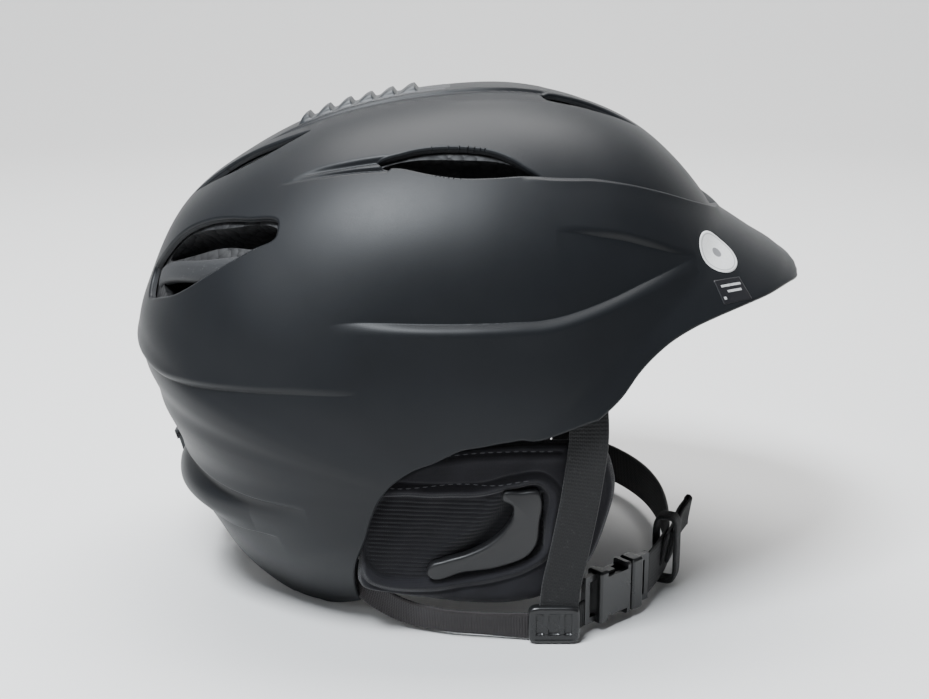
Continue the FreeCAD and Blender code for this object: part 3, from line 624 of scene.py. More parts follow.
def sheet_faces(rows, columns):
    """Faces of two grids of points stored in turn, the second turned over, joined round their borders."""
    back = [f[::-1] for f in grid_faces(rows, columns, rows * columns)]
    return grid_faces(rows, columns) + back + rim_faces(rows, columns)


def pillow(name, halves, rows, columns, cloth, material):
    """Closed form of two grids of points, with one cloth map for both."""
    obj = new_object(name, np.concatenate(halves), sheet_faces(rows, columns), material)
    return outward_faces(cloth_map(obj, np.concatenate([cloth, cloth])))


def swept(name, section, material, cloth, cap=True):
    """Closed tube through rings of points, section[k] being the ring at step k."""
    rows, columns = section.shape[:2]
    verts = section.reshape(-1, 3)
    faces = grid_faces(rows, columns, closed=True)
    if cap:
        faces += [tuple(range(columns)), tuple(range(rows * columns - 1, (rows - 1) * columns - 1, -1))]
    return outward_faces(cloth_map(new_object(name, verts, faces, material), cloth.reshape(-1, 3)))


def strap_mesh(name, path, across, size, material, rib=1.3, rib_depth=0.08, end_round=0.0):
    """Woven strap along a path, with thicker selvages and cross ribs. Across gives its width's direction."""
    width, thickness = size
    legs = run_lengths(np.array(path, float))
    length = legs[-1]
    count = int(length / rib * 4)
    centre = spline(path, count)
    along = unit(np.gradient(centre, axis=0))
    across = np.array(across if len(across) > 1 else list(across) * len(legs), float)
    wide = np.stack([np.interp(np.linspace(0, length, count), legs, across[:, k]) for k in range(3)], 1)
    wide = unit(wide - along * np.sum(along * wide, 1, keepdims=True))
    thick = np.cross(along, wide)
    x = np.cos(np.linspace(0, math.pi, 17))
    x = np.sign(x) * np.abs(x) ** 0.8
    edge = (1 - np.abs(x) ** 12) ** 0.5
    bead = 1 + 0.22 * np.exp(-(((np.abs(x) - 0.9) / 0.07) ** 2))
    ring_x = np.r_[x, x[-2:0:-1]]
    ring_y = np.r_[edge * bead, -(edge * bead)[-2:0:-1]]
    u = np.linspace(0, length, count)
    half = np.full(count, width / 2)
    if end_round:
        ends = np.clip(np.minimum(u, length - u) / end_round, 0, 1)
        half = half - end_round * (1 - np.sqrt(1 - (1 - ends) ** 2))
    ribs = rib_depth * np.cos(2 * math.pi * u / rib)
    rings = (centre[:, None] + wide[:, None] * (ring_x[None, :, None] * half[:, None, None])
             + thick[:, None] * (ring_y[None, :, None] * (thickness / 2 - rib_depth + ribs)[:, None, None]))
    cloth = np.stack(np.broadcast_arrays(u[:, None], ring_x * width / 2, np.sign(ring_y)), -1)
    return swept(name, rings, material, cloth)


def stitches(name, line, out, material, pitch=3.2, long=2.1, radius=0.26):
    """Row of thread stitches on a line of points that are close together. Out points away from the cloth."""
    u = run_lengths(line)
    steps, sides = 7, 6
    share = np.linspace(0, 1, steps)
    lift = np.sqrt(np.maximum(1 - (2 * share - 1) ** 2, 0.02))
    verts, faces, cloth = [], [], []
    for start in np.arange(pitch / 2, u[-1] - long, pitch):
        at = np.stack([np.interp(start + long * share, u, line[:, k]) for k in range(3)], 1)
        side = unit(np.cross(out, np.gradient(at, axis=0)))
        first = len(verts)
        for k in range(steps):
            for g in np.linspace(0, 2 * math.pi, sides, endpoint=False):
                verts.append(at[k] + out * radius * (lift[k] * (0.55 + 0.6 * math.sin(g)) - 0.3)
                             + side[k] * radius * 0.9 * lift[k] * math.cos(g))
                cloth.append((share[k] * long, g, 0))
        faces += grid_faces(steps, sides, first, closed=True)
        last = len(verts) - 1
        faces += [tuple(range(first, first + sides)), tuple(range(last, last - sides, -1))]
    return outward_faces(cloth_map(new_object(name, verts, faces, material), cloth))


def mirrored(obj, name):
    """Left-hand copy of a right-hand piece, with its faces turned back."""
    copy = obj.copy()
    copy.data = obj.data.copy()
    copy.name = copy.data.name = name
    bpy.context.scene.collection.objects.link(copy)
    copy.data.transform(Matrix.Diagonal((1, -1, 1, 1)))
    copy.data.flip_normals()
    return copy


def both_sides(build, name, bodies, nodes):
    """The right piece and its mirror image, each riding its own body and standing for its own nodes."""
    right = build(name + "_right")
    left = mirrored(right, name + "_left")
    for obj, body, side in ((right, bodies[0], "right"), (left, bodies[-1], "left")):
        piece(obj, body, [n + "_" + side for n in nodes])
    return right, left


def smooth_step(x):
    x = np.clip(x, 0, 1)
    return x * x * (3 - 2 * x)


# ---------------------------------------------------------------- ear pads, drawn on the right side as (x, z)
EAR_FACE_Y = -94.5
EAR_CENTRE = np.array([5.0, 47.0])
EAR_OUTLINE = [(-41, 20), (-41.5, 33), (-40.5, 46), (-36, 56), (-29.5, 64.5), (-20.5, 71.5), (-8, 76.5),
               (6, 78.7), (22, 80), (38, 80.3), (52, 79.5), (58, 66), (55, 46), (48, 29), (38, 19),
               (22, 13.5), (4, 12.8), (-14, 14.8), (-30, 17)]
# sunk panel of ribbed knit with the clip, and the hollow that runs up to the clip's inner edge
KNIT_PANEL = [(-37, 57), (-28, 58.8), (-10, 58.8), (8, 59.5), (19, 62.4), (29, 63), (31.4, 60.5), (31, 48),
              (29, 37), (22, 32.4), (12, 29), (-2, 26.3), (-14, 24.6), (-24, 24.2), (-33, 26), (-37.5, 31),
              (-38.6, 42), (-38.4, 52)]
HOLLOW_EDGE = [(-14, 31), (-6, 38), (3, 46.5), (8, 52.5), (12, 59)]
CLIP_OUTLINE = [(14.5, 60.9), (21, 61.6), (28.3, 61.2), (29.2, 58.5), (28.6, 49), (27.2, 39.4), (25.4, 36.6),
                (13.6, 30.8), (0, 28.6), (-13.6, 26.5), (-14.3, 27.4), (-13.2, 31.4), (-8, 33.4), (1.5, 36.4),
                (9.7, 40.8), (15.6, 46.6), (18.4, 52), (18.2, 55.6), (14.2, 58.4)]
RIB_PITCH = 1.75
# rings round the pad's sides and back, as (scale of the rim, y), and round the clip, as (inset, y)
EAR_BACK = [(1.012, -90.4), (1.02, -88.8), (1.01, -87.2), (0.975, -84.8), (0.93, -82), (0.87, -79.6),
            (0.78, -77.9), (0.66, -76.9), (0.5, -76.4), (0.3, -76.2), (0.1, -76.2)]
CLIP_PROFILE = [(0.5, -91.5), (0.0, -92.2), (0.0, -95.4), (0.18, -95.95), (0.5, -96.35), (0.95, -96.6),
                (1.35, -96.7)]


def signed_gap(points, polygon):
    """Distance outside a closed polygon, negative inside."""
    gap = np.concatenate([nearest_on(lot, polygon)[0] for lot in np.array_split(points, 12)])
    return np.where(inside(points, polygon), -gap, gap)


EAR_RIM = EAR_CENTRE + (closed_line(EAR_OUTLINE) - EAR_CENTRE) * 0.965
KNIT_RIM = closed_line(KNIT_PANEL)
UPPER_SEAM = spline([(-33, 63.5), (-24, 69.5), (-12, 73.6), (2, 75.8), (16, 76.6), (30, 76.8),
                     (36, 76.8)], 90)


def ear_relief(p):
    """Height of the ear pad's face above its flat, and how far each point lies outside the knit panel."""
    x, z = p.T
    knit = signed_gap(p, KNIT_RIM)
    crown = 1.1 * np.cos(np.clip((x - 4) / 46, -1, 1) * math.pi / 2) - 0.9
    soft = 0.25 * np.sin(x * 0.21 + 1.3) * np.sin(z * 0.17 + 0.4) + 0.16 * np.sin(x * 0.43 - z * 0.31)
    height = crown + soft
    height -= 1.5 * smooth_step(-knit / 1.4 + 0.4)
    height += 1.25 * np.exp(-(((knit - 2.4) / 1.5) ** 2)) - 0.55 * np.exp(-(((knit - 5.2) / 0.7) ** 2))
    foot, _i, _f = nearest_foot(p, UPPER_SEAM)
    seam = np.linalg.norm(p - foot, axis=1)
    height -= 0.7 * np.exp(-((seam / 0.75) ** 2)) - 0.35 * np.exp(-(((seam - 2.4) / 1.3) ** 2))
    edge = spline(HOLLOW_EDGE, 60)
    foot, i, _f = nearest_foot(p, edge)
    run = np.gradient(edge, axis=0)[i]
    into = ((p - foot)[:, 0] * run[:, 1] - (p - foot)[:, 1] * run[:, 0]) / np.linalg.norm(run, axis=1)
    reach = smooth_step((z - 29) / 5) * smooth_step((61 - z) / 4)
    hollow = smooth_step(into / 7.5) * reach * (x < 30) * (knit < 0)
    height -= 3.4 * hollow
    height += 0.5 * np.exp(-(((into + 1.2) / 1.5) ** 2)) * reach * (knit < -1)
    ribbed = smooth_step((-knit - 1.2) / 1.2) * (1 - hollow)
    height += 0.17 * ribbed * np.cos(2 * math.pi * (z + 0.03 * x) / RIB_PITCH)
    piping = np.exp(-(((x + 37.2 - 0.06 * (z - 40)) / 1.3) ** 2))
    piping *= smooth_step((z - 24) / 8) * smooth_step((60 - z) / 6)
    return height + 0.7 * piping, knit


def ear_face(p):
    """Depth of the ear pad's outer face at (x, z), rolling back to the rim."""
    height, knit = ear_relief(p)
    rim = -signed_gap(p, EAR_RIM)
    share = np.clip((6.0 - rim) / 6.0, 0, 1)
    return EAR_FACE_Y - height * smooth_step(rim / 3) + 3.3 * (1 - np.sqrt(1 - share**2)), knit


def ear_pad_mesh(name):
    """Cushion whose face is a grid over its outline and whose back closes in rings. The panel is knitted."""
    columns, rows = 250, 190
    u, v = np.meshgrid(np.linspace(-1, 1, columns), np.linspace(-1, 1, rows))
    disc = np.stack([u * np.sqrt(1 - v * v / 2), v * np.sqrt(1 - u * u / 2)], -1).reshape(-1, 2)
    turn = np.arctan2(disc[:, 1], disc[:, 0])
    rim = EAR_RIM - EAR_CENTRE
    order = np.argsort(np.arctan2(rim[:, 1], rim[:, 0]))
    rim_turn, rim_far = np.arctan2(rim[:, 1], rim[:, 0])[order], np.linalg.norm(rim, axis=1)[order]
    far = np.interp(turn, rim_turn, rim_far, period=2 * math.pi)
    far = far * np.linalg.norm(disc, axis=1)
    p = EAR_CENTRE + np.stack([np.cos(turn), np.sin(turn)], -1) * far[:, None]
    y, knit = ear_face(p)
    verts = [(a, b, c) for (a, c), b in zip(p, y)]
    faces = grid_faces(rows, columns)
    panel = [int(np.all(knit[list(f)] < -0.6)) for f in faces]
    cloth = [(a, b, 0) for a, b in p]
    border = border_line(rows, columns)
    edge = p[border]
    rings = []
    for scale, depth in EAR_BACK:
        q = EAR_CENTRE + (edge - EAR_CENTRE) * scale
        rings.append([(a, depth, c) for a, c in q])
        cloth += [(a + depth, b, 0) for a, b in q]
    add_rings(verts, faces, border, rings)
    faces.append(tuple(range(len(verts) - len(border), len(verts))))
    obj = new_object(name, verts, faces, MATERIALS["ear_fabric"])
    obj.data.materials.append(MATERIALS["knit"])
    for i, flag in enumerate(panel):
        obj.data.polygons[i].material_index = flag
    return outward_faces(cloth_map(obj, cloth))


def on_ear(line, lift):
    """3-D points over a line of (x, z) on the ear pad's face."""
    y, _knit = ear_face(line)
    return np.stack([line[:, 0], y - lift, line[:, 1]], 1)


def ear_stitches(name):
    """Stitching along the pad's upper seam and round the top of the knit panel, joined in one mesh."""
    seam = on_ear(UPPER_SEAM[6:], 0.05)
    ring = closed_line(KNIT_PANEL, 400)
    outer = ring + 5.2 * unit(ring - np.array([-2.0, 44.0]))
    top = outer[(outer[:, 1] > 56) & (outer[:, 0] < 26)]
    top = top[np.argsort(top[:, 0])]
    out = np.array([0, -1.0, 0])
    first = stitches(name, seam, out, MATERIALS["thread"])
    second = stitches(name + "_low", on_ear(top, 0.05), out, MATERIALS["thread"])
    bm = bmesh.new()
    bm.from_mesh(first.data)
    bm.from_mesh(second.data)
    bm.to_mesh(first.data)
    bm.free()
    bpy.data.objects.remove(second)
    return first


def ear_clip(name):
    """Moulded clip: rounded corners, a bevel all round and a flat face."""
    rim = closed_line(CLIP_OUTLINE, 360)
    along = unit(np.roll(rim, -1, 0) - np.roll(rim, 1, 0))
    inward = np.stack([-along[:, 1], along[:, 0]], 1)
    if not inside(rim[:1] + inward[:1] * 0.5, rim)[0]:
        inward = -inward
    verts = [(a, y, c) for inset, y in CLIP_PROFILE for a, c in rim + inward * inset]
    count = len(rim)
    faces = grid_faces(len(CLIP_PROFILE), count, closed=True)
    faces += [tuple(range(count)), tuple(range(len(verts) - count, len(verts)))]
    obj = new_object(name, verts, faces, MATERIALS["grey_plastic"])
    return outward_faces(cloth_map(obj, [(a, c, 0) for a, _b, c in verts]))


# ---------------------------------------------------------------- comfort pads on the foam's inner face
HEAD_C = np.array([-16.0, 0, 90])
HEAD_X, HEAD_Y, HEAD_UP, HEAD_DOWN = 98.0, 80.0, 91.0, 130.0
GAP, PAD_T, PAD_EDGE = 0.35, 5.0, 0.6
CHANNEL_HALF, CHANNEL_DEEP = 0.035, 0.42  # a sewn channel's half width and depth, as shares of the pad


def head_points(a, b, clearance):
    """Points on the head space's wall in directions from the hub, moved in by a clearance."""
    ar, br = np.radians(a), np.radians(b)
    d = np.stack([np.cos(br) * np.cos(ar), np.sin(br), np.cos(br) * np.sin(ar)], -1)
    best = None
    for height in (HEAD_UP, HEAD_DOWN):
        size = np.stack([HEAD_X - clearance, HEAD_Y - clearance, height - clearance], -1)
        q, e = (HUB - HEAD_C) / size, d / size
        aa, bb, cc = np.sum(e * e, -1), np.sum(q * e, -1), np.sum(q * q, -1) - 1
        far = (-bb + np.sqrt(bb * bb - aa * cc)) / aa
        hit = HUB + d * far[..., None]
        best = hit if best is None else np.where(hit[..., 2:] < HEAD_C[2], hit, best)
    return best


def comfort_pad(name, t_range, s_range, lines=(), rows=70, columns=90):
    """Pillow on the foam: a crowned inner face with sewn channels, sides drawn in between the corners."""
    u, v = np.meshgrid(np.linspace(-1, 1, columns), np.linspace(-1, 1, rows))
    drawn_u, drawn_v = u * (1 - 0.05 * (1 - v * v)), v * (1 - 0.07 * (1 - u * u))
    corner = 1 - 0.05 * (np.abs(u) * np.abs(v)) ** 4
    t = np.mean(t_range) + (t_range[1] - t_range[0]) / 2 * drawn_v * corner
    s = np.mean(s_range) + (s_range[1] - s_range[0]) / 2 * drawn_u * corner
    a, b = patch_angles(t, s)
    full = (1 - np.abs(u) ** 7) ** 0.5 * (1 - np.abs(v) ** 5) ** 0.5
    for kind, at in lines:
        gap = np.abs((u if kind == "u" else v) - at)
        full = full * (1 - CHANNEL_DEEP * np.exp(-((gap / CHANNEL_HALF) ** 2)))
    soft = 1 + 0.06 * np.sin(7 * u + 2) * np.sin(5 * v + 1)
    wall = np.full_like(a, GAP)
    base = head_points(a, b, wall)
    face = head_points(a, b, wall + PAD_EDGE + (PAD_T - PAD_EDGE) * full * soft * 0.94)
    back = head_points(a, b, wall + PAD_EDGE * (1 - full))
    long = np.linalg.norm(base[rows // 2, -1] - base[rows // 2, 0])
    high = np.linalg.norm(base[-1, columns // 2] - base[0, columns // 2])
    cloth = np.stack([u * long / 2, v * high / 2, 0 * u], -1).reshape(-1, 3)
    halves = [face.reshape(-1, 3), back.reshape(-1, 3)]
    return pillow(name, halves, rows, columns, cloth, MATERIALS["liner_fabric"])


# ---------------------------------------------------------------- straps: routes as in the part's source
STRAP_PATH = [(45, -94, 106), (46, -95, 96), (46.5, -96.4, 84), (44.5, -96.9, 64), (40.5, -97.2, 40),
              (37, -97.4, 22), (36, -97.5, 11)]
STRAP_AXES = [(1, 0, 0)] * 5 + [(1, 0, 0.15), (1, 0, 0.2)]
REAR_PATH = [(-56, -65, 27), (-48, -69.5, 20), (-39, -76.5, 13.5), (-27, -85.5, 9), (-10, -92.5, 7.2),
             (8, -95.5, 6.8), (26, -97.4, 6.8)]
REAR_AXES = [(0.4, 0, 0.9), (0.4, 0, 0.9), (0.3, -0.1, 0.9), (0.1, -0.3, 1), (0, -0.4, 1), (0, -0.4, 1),
             (0, -0.2, 1)]
DIVIDER_C = np.array([34, -97.5, 8.5])
BUCKLE_C = np.array([64, -74.5, 14])
BUCKLE_TURN = math.atan2(0.67, 0.74)
SOCKET_END, PLUG_END = -20.9, 13.4  # where the straps meet the buckle, in its own axes
CHIN_MIDDLE_Z = 14.0
SOCKET_STRAP_Z = (8.5, 8.9, 9.4)  # at the divider, midway and at the buckle
TAIL_Z = 19.5
# widths and thicknesses of the straps
FRONT_SIZE, REAR_SIZE, SOCKET_SIZE = (15, 1.6), (12.4, 1.5), (11, 1.6)
CHIN_SIZE, TAIL_SIZE = (18, 1.6), (15, 1.5)
CHIN_PATH = [(80, -52), (85.5, -37), (88, -19), (89, 0), (88, 19), (83.5, 40), (75, 59), (62, 77), (45, 94)]
TAIL_PATH = [(80, -52), (85.5, -37), (89, -27), (93.5, -20)]
KEEPER_C = np.array([83.2, -44.7, 17.0])
KEEPER_TURN = math.atan2(0.93, 0.36)
KEEPER_HALF = (4.4, 14.2)
BAND_PATH = [(-83.6, -37.7), (-73.8, -44), (-63, -51), (-53.6, -56)]
NAPE_Z, NAPE_HALF, NAPE_T = 24, 12.8, 4.3


def buckle_point(x, y, z):
    """A place in the buckle's own axes, x being the way the plug goes in."""
    c, s = math.cos(BUCKLE_TURN), math.sin(BUCKLE_TURN)
    return BUCKLE_C + np.array([x * c - y * s, x * s + y * c, z])


def beside(path, offset, z):
    """A level line beside a path in plan, at a height."""
    flat = spline(path, 60)
    d = unit(np.gradient(flat, axis=0))
    side = np.stack([-d[:, 1], d[:, 0]], 1)
    moved = flat + side * offset
    return np.stack([moved[:, 0], moved[:, 1], np.broadcast_to(z, len(moved))], 1)


def straps():
    """Webbing from the shell to the dividers and buckle, and the chin strap from the buckle round the chin.
    """
    web, elastic = MATERIALS["webbing"], MATERIALS["grey_elastic"]

    def front_strap(name):
        return strap_mesh(name, STRAP_PATH, STRAP_AXES, FRONT_SIZE, web, rib=1.45, rib_depth=0.09)

    def rear_strap(name):
        return strap_mesh(name, REAR_PATH, REAR_AXES, REAR_SIZE, elastic, rib=1.1, rib_depth=0.13)

    both_sides(front_strap, "front_strap_webbing", ["helmet"], ["front_strap"])
    both_sides(rear_strap, "rear_strap_elastic", ["helmet"], ["rear_strap"])
    start = DIVIDER_C + [9, 3.3, 0]
    end = buckle_point(SOCKET_END, 0, 0)
    middle = (start + end) / 2
    low, middle_z, high = SOCKET_STRAP_Z
    route = [(start[0] - 8, start[1], low), (start[0], start[1], low), (middle[0], middle[1], middle_z),
             (end[0], end[1], high)]
    socket_strap = strap_mesh("socket_strap_webbing", route, [(0, 0, 1)], SOCKET_SIZE, web)
    piece(socket_strap, "helmet", ["socket_strap"])
    start = buckle_point(PLUG_END, 0, 0)
    route = [(start[0], start[1], CHIN_MIDDLE_Z)] + [(x, y, CHIN_MIDDLE_Z) for x, y in CHIN_PATH]
    chin = strap_mesh("chin_strap_webbing", route, [(0, 0, 1)], CHIN_SIZE, web)
    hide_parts("chin_strap")
    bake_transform(chin)


def strap_tail():
    """Spare webbing folded double, standing out past the keeper with a square end."""
    out = beside(TAIL_PATH, -1.9, TAIL_Z)
    back = beside(TAIL_PATH, -3.7, TAIL_Z)[::-1]
    tip, inward = out[-1], unit(out[-1] - out[-4])
    bend = [(tip + back[0]) / 2 + inward * 0.9]
    route = np.concatenate([out[2:], bend, back[:-8]])
    sag = np.interp(np.arange(len(route)), [0, len(out) - 2, len(route) - 1], [0, 1, 0])
    route[:, 2] += 6.0 * sag**2 - 1.5
    web = MATERIALS["webbing"]
    tail = strap_mesh("strap_tail_webbing", route, [(0.1, -0.25, 1)], TAIL_SIZE, web, end_round=1.2)
    piece(tail, "helmet", ["strap_tail"])


def keeper():
    """Elastic loop round the chin strap and its tail."""
    g = np.linspace(0, 2 * math.pi, 97)[:-1]
    c, s = math.cos(KEEPER_TURN), math.sin(KEEPER_TURN)
    across = KEEPER_HALF[0] * np.sign(np.cos(g)) * np.abs(np.cos(g)) ** 0.55
    rise = KEEPER_HALF[1] * np.sign(np.sin(g)) * np.abs(np.sin(g)) ** 0.3
    middle = KEEPER_C + np.stack([-(across - 1.3) * s, (across - 1.3) * c, rise], 1)
    along = np.array([c, s, 0.0])
    away = np.cross(unit(np.roll(middle, -1, 0) - np.roll(middle, 1, 0)), along)
    x = np.linspace(-4, 4, 15)
    ribs = 0.16 * np.cos(2 * math.pi * x / 1.6)
    edge = 0.75 * (1 - (np.abs(x) / 4.05) ** 10) ** 0.5
    ring_x = np.r_[x, x[::-1]]
    ring_y = np.r_[edge + ribs, -(edge + ribs)[::-1]]
    sections = middle[:, None] + along * ring_x[None, :, None] + away[:, None] * ring_y[None, :, None]
    sections = np.concatenate([sections, sections[:1]])
    round_it = np.linspace(0, 60, len(sections))[:, None]
    cloth = np.stack(np.broadcast_arrays(round_it, ring_x, np.sign(ring_y)), -1)
    obj = swept("strap_keeper_loop", sections, MATERIALS["keeper_elastic"], cloth, cap=False)
    piece(obj, "helmet", ["strap_keeper"])


def nape_cushion(name):
    """Long cushion on the inner side of a fit band, with a sewn channel along its middle."""
    rows, columns = 60, 50
    line = spline(beside(BAND_PATH, 0, 0.0), rows)
    d = unit(np.gradient(line, axis=0))
    side = np.stack([-d[:, 1], d[:, 0], 0 * d[:, 0]], 1)
    u, v = np.linspace(-1, 1, rows)[:, None], np.linspace(-1, 1, columns)[None]
    full = (1 - np.abs(u) ** 6) ** 0.5 * (1 - np.abs(v) ** 5) ** 0.5
    channel = 1 - 0.4 * np.exp(-((v / 0.05) ** 2)) * smooth_step((0.8 - np.abs(u)) / 0.1)
    z = NAPE_Z + NAPE_HALF * v * (1 - 0.05 * (1 - u * u))
    halves = []
    for inner in (0, 1):
        offset = 1.15 + (0.35 + NAPE_T * full * channel if inner else 0.35 * (1 - full))
        xy = line[:, None, :2] + side[:, None, :2] * offset[..., None]
        halves.append(np.concatenate([xy, np.broadcast_to(z, full.shape)[..., None]], -1).reshape(-1, 3))
    cloth = np.stack(np.broadcast_arrays(u * 20, v * NAPE_HALF, 0.0), -1).reshape(-1, 3)
    return pillow(name, halves, rows, columns, cloth, MATERIALS["liner_fabric"])


# ---------------------------------------------------------------- crown slider, in mm
SLIDER_C = np.array([-41.5, 0, 194.9])
SLIDE_SLOPE = math.radians(14.4)
SLIDER_HALF = (28.0, 8.45)
SLIDER_DEPTH = 5.9
TONGUE = 8.6  # its front lip lies on the shell and covers the slot ahead
RIDGE_TOPS = [-22.8 + 9.0 * i for i in range(6)]
RIDGE_H, RIDGE_BACK, RIDGE_FRONT = 2.5, 6.4, 1.5  # each rises over its back and drops over its front
# flange and neck below the shell, as (rear, front, half width, foot, top) in the slide's axes
BELOW_SHELL = ((-28.0, 28.0, 11, -6.0, -4.8), (-7.0, 7.0, 2.5, -12.0, -5.8))
BOX_FACES = ((3, 2, 1, 0), (4, 5, 6, 7), (0, 1, 5, 4), (1, 2, 6, 5), (2, 3, 7, 6), (3, 0, 4, 7))


def slide_point(u, y, w):
    """Places in the slide's own axes: u forward along the slope, w up from it."""
    c, s = math.cos(SLIDE_SLOPE), math.sin(SLIDE_SLOPE)
    return SLIDER_C + np.stack(np.broadcast_arrays(u * c - w * s, y, u * s + w * c), -1)


def slider_mesh(name):
    """Button that follows the crown, with six hooked finger ridges, a flange below the shell and a neck."""
    along = np.linspace(-SLIDER_HALF[0], SLIDER_HALF[0] + TONGUE, 460)
    # the shell's crown line, in the slide's axes, gives the height of the button's foot
    crown = shell_points(np.linspace(85, 122, 800), np.zeros(800)) - SLIDER_C
    c, s = math.cos(SLIDE_SLOPE), math.sin(SLIDE_SLOPE)
    at, height = crown[:, 0] * c + crown[:, 2] * s, crown[:, 2] * c - crown[:, 0] * s
    order = np.argsort(at)
    base = np.interp(along, at[order], height[order]) + 0.35
    base -= 0.9 * smooth_step((-24.5 - along) / 3.5)
    ridge = np.zeros(len(along))
    for top in RIDGE_TOPS:
        rise = np.sin(np.clip((along - top + RIDGE_BACK) / RIDGE_BACK, 0, 1) * math.pi / 2) ** 1.25
        drop = 0.5 + 0.5 * np.cos(np.clip((along - top) / RIDGE_FRONT, 0, 1) * math.pi)
        ridge = np.maximum(ridge, np.where(along < top, rise, drop))
    across = np.sin(np.linspace(-math.pi / 2, math.pi / 2, 33))
    y = across * SLIDER_HALF[1]
    round_off = 0.7 * (1 - (1 - np.abs(across) ** 10) ** 0.5)
    side = (1 - np.clip(np.abs(y) / 7.6, 0, 1) ** 8) ** 0.5
    thin = smooth_step((along - SLIDER_HALF[0] + 0.6) / 1.2)
    tip = smooth_step((SLIDER_HALF[0] + TONGUE - along) / 2.5)
    top = base[:, None] - round_off + RIDGE_H * ridge[:, None] * side + 0.25 * (tip[:, None] - 1)
    under = (1 - thin) * -SLIDER_DEPTH + thin * (base - 0.2)
    low = np.minimum(np.broadcast_to(under[:, None], top.shape), top - 0.12)
    rows, columns = top.shape
    narrow = 1 - 0.12 * smooth_step((along - SLIDER_HALF[0] - TONGUE + 3) / 3)[:, None] ** 2
    verts = np.concatenate([slide_point(along[:, None], y * narrow, h).reshape(-1, 3) for h in (top, low)])
    faces = sheet_faces(rows, columns)
    for rear, front, half, foot, head in BELOW_SHELL:
        first = len(verts)
        plan = ((rear, -half), (front, -half), (front, half), (rear, half))
        verts = np.concatenate([verts, [slide_point(x, t, w) for w in (foot, head) for x, t in plan]])
        faces += [tuple(first + k for k in f) for f in BOX_FACES]
    return outward_faces(new_object(name, verts, faces, MATERIALS["slider_plastic"]))


# ---------------------------------------------------------------- slotted divider where the straps meet
DIVIDER_X, DIVIDER_Z = (-9.5, 10.5), (-8.5, 7.0)
CORNER_POWER = 0.32  # how square the outline is
FACE_Y, EDGE_R = 1.1, 1.3  # half thickness at the rim, and the rounding that is added to it
SUNK_HALF, BAR_AT, LIP_Z = (7.3, 4.6), 3.1, -6.2  # the sunk middle, its bars and the cam lip


def divider_mesh(name):
    """Oblong with rounded corners and edges, a sunk middle with two bars and a cam lip along its foot."""
    middle = np.array([np.mean(DIVIDER_X), np.mean(DIVIDER_Z)])
    half = np.array([np.ptp(DIVIDER_X), np.ptp(DIVIDER_Z)]) / 2
    ring, steps = 144, 26
    g = np.linspace(0, 2 * math.pi, ring + 1)[:-1]
    rim = np.stack([np.sign(wave) * np.abs(wave) ** CORNER_POWER for wave in (np.cos(g), np.sin(g))], 1)
    verts = []
    for face in (-1, 1):
        for r in np.linspace(0.03, 1, steps):
            x, z = (rim * r).T * half[:, None]
            edge = np.clip((1 - r) * half[1] / EDGE_R, 0, 1)
            y = FACE_Y + EDGE_R * np.sqrt(1 - (1 - edge) ** 2)
            sunk = smooth_step((SUNK_HALF[0] - np.abs(x)) / 0.8)
            sunk *= smooth_step((SUNK_HALF[1] - np.abs(z - 0.6)) / 0.8)
            bars = smooth_step((1.3 - np.abs(np.abs(x) - BAR_AT)) / 0.6)
            lip = np.exp(-(((z - LIP_Z) / 0.45) ** 2)) * smooth_step((8.2 - np.abs(x)) / 1.0)
            y = y - sunk * (0.9 - 0.7 * bars) + 0.25 * lip
            verts += [(middle[0] + a, face * b, middle[1] + c) for a, b, c in zip(x, y, z)]
    front, back = grid_faces(steps, ring, closed=True), grid_faces(steps, ring, steps * ring, closed=True)
    faces = front + [f[::-1] for f in back]
    outer, other = (steps - 1) * ring, (2 * steps - 1) * ring
    faces += [(outer + k, outer + (k + 1) % ring, other + (k + 1) % ring, other + k) for k in range(ring)]
    faces += [tuple(range(ring)), tuple(range(steps * ring, steps * ring + ring))]
    return outward_faces(new_object(name, np.array(verts) + DIVIDER_C, faces, MATERIALS["black_plastic"]))


# ---------------------------------------------------------------- stickers on the brim's right side
def sticker(name, place, half, material, turn=0.0, lift=0.16, round_shape=True):
    """Thin sheet that follows the shell. Its cloth map is its own (x, y) in mm."""
    a0, b0 = (np.array([v], float) for v in place)
    centre, n = surface(a0, b0)[0], outward(a0, b0)[0]
    right = unit(np.cross([0, 0, 1.0], n))
    right = right * math.cos(turn) + np.cross(n, right) * math.sin(turn)
    up = np.cross(n, right)
    rows = 26
    u, v = np.meshgrid(np.linspace(-1, 1, rows), np.linspace(-1, 1, rows))
    if round_shape:
        x, y = u * np.sqrt(1 - v * v / 2) * half[0], v * np.sqrt(1 - u * u / 2) * half[1]
    else:
        x, y = u * half[0], v * half[1]
    flat = centre + right * x.reshape(-1, 1) + up * y.reshape(-1, 1)
    a, b = angles_of(flat)
    top = shell_points(a, b) + shell_normals(a, b) * lift
    low = shell_points(a, b) + shell_normals(a, b) * 0.01
    return pillow(name, [top, low], rows, rows, np.stack([x.ravel(), y.ravel(), 0 * x.ravel()], 1), material)


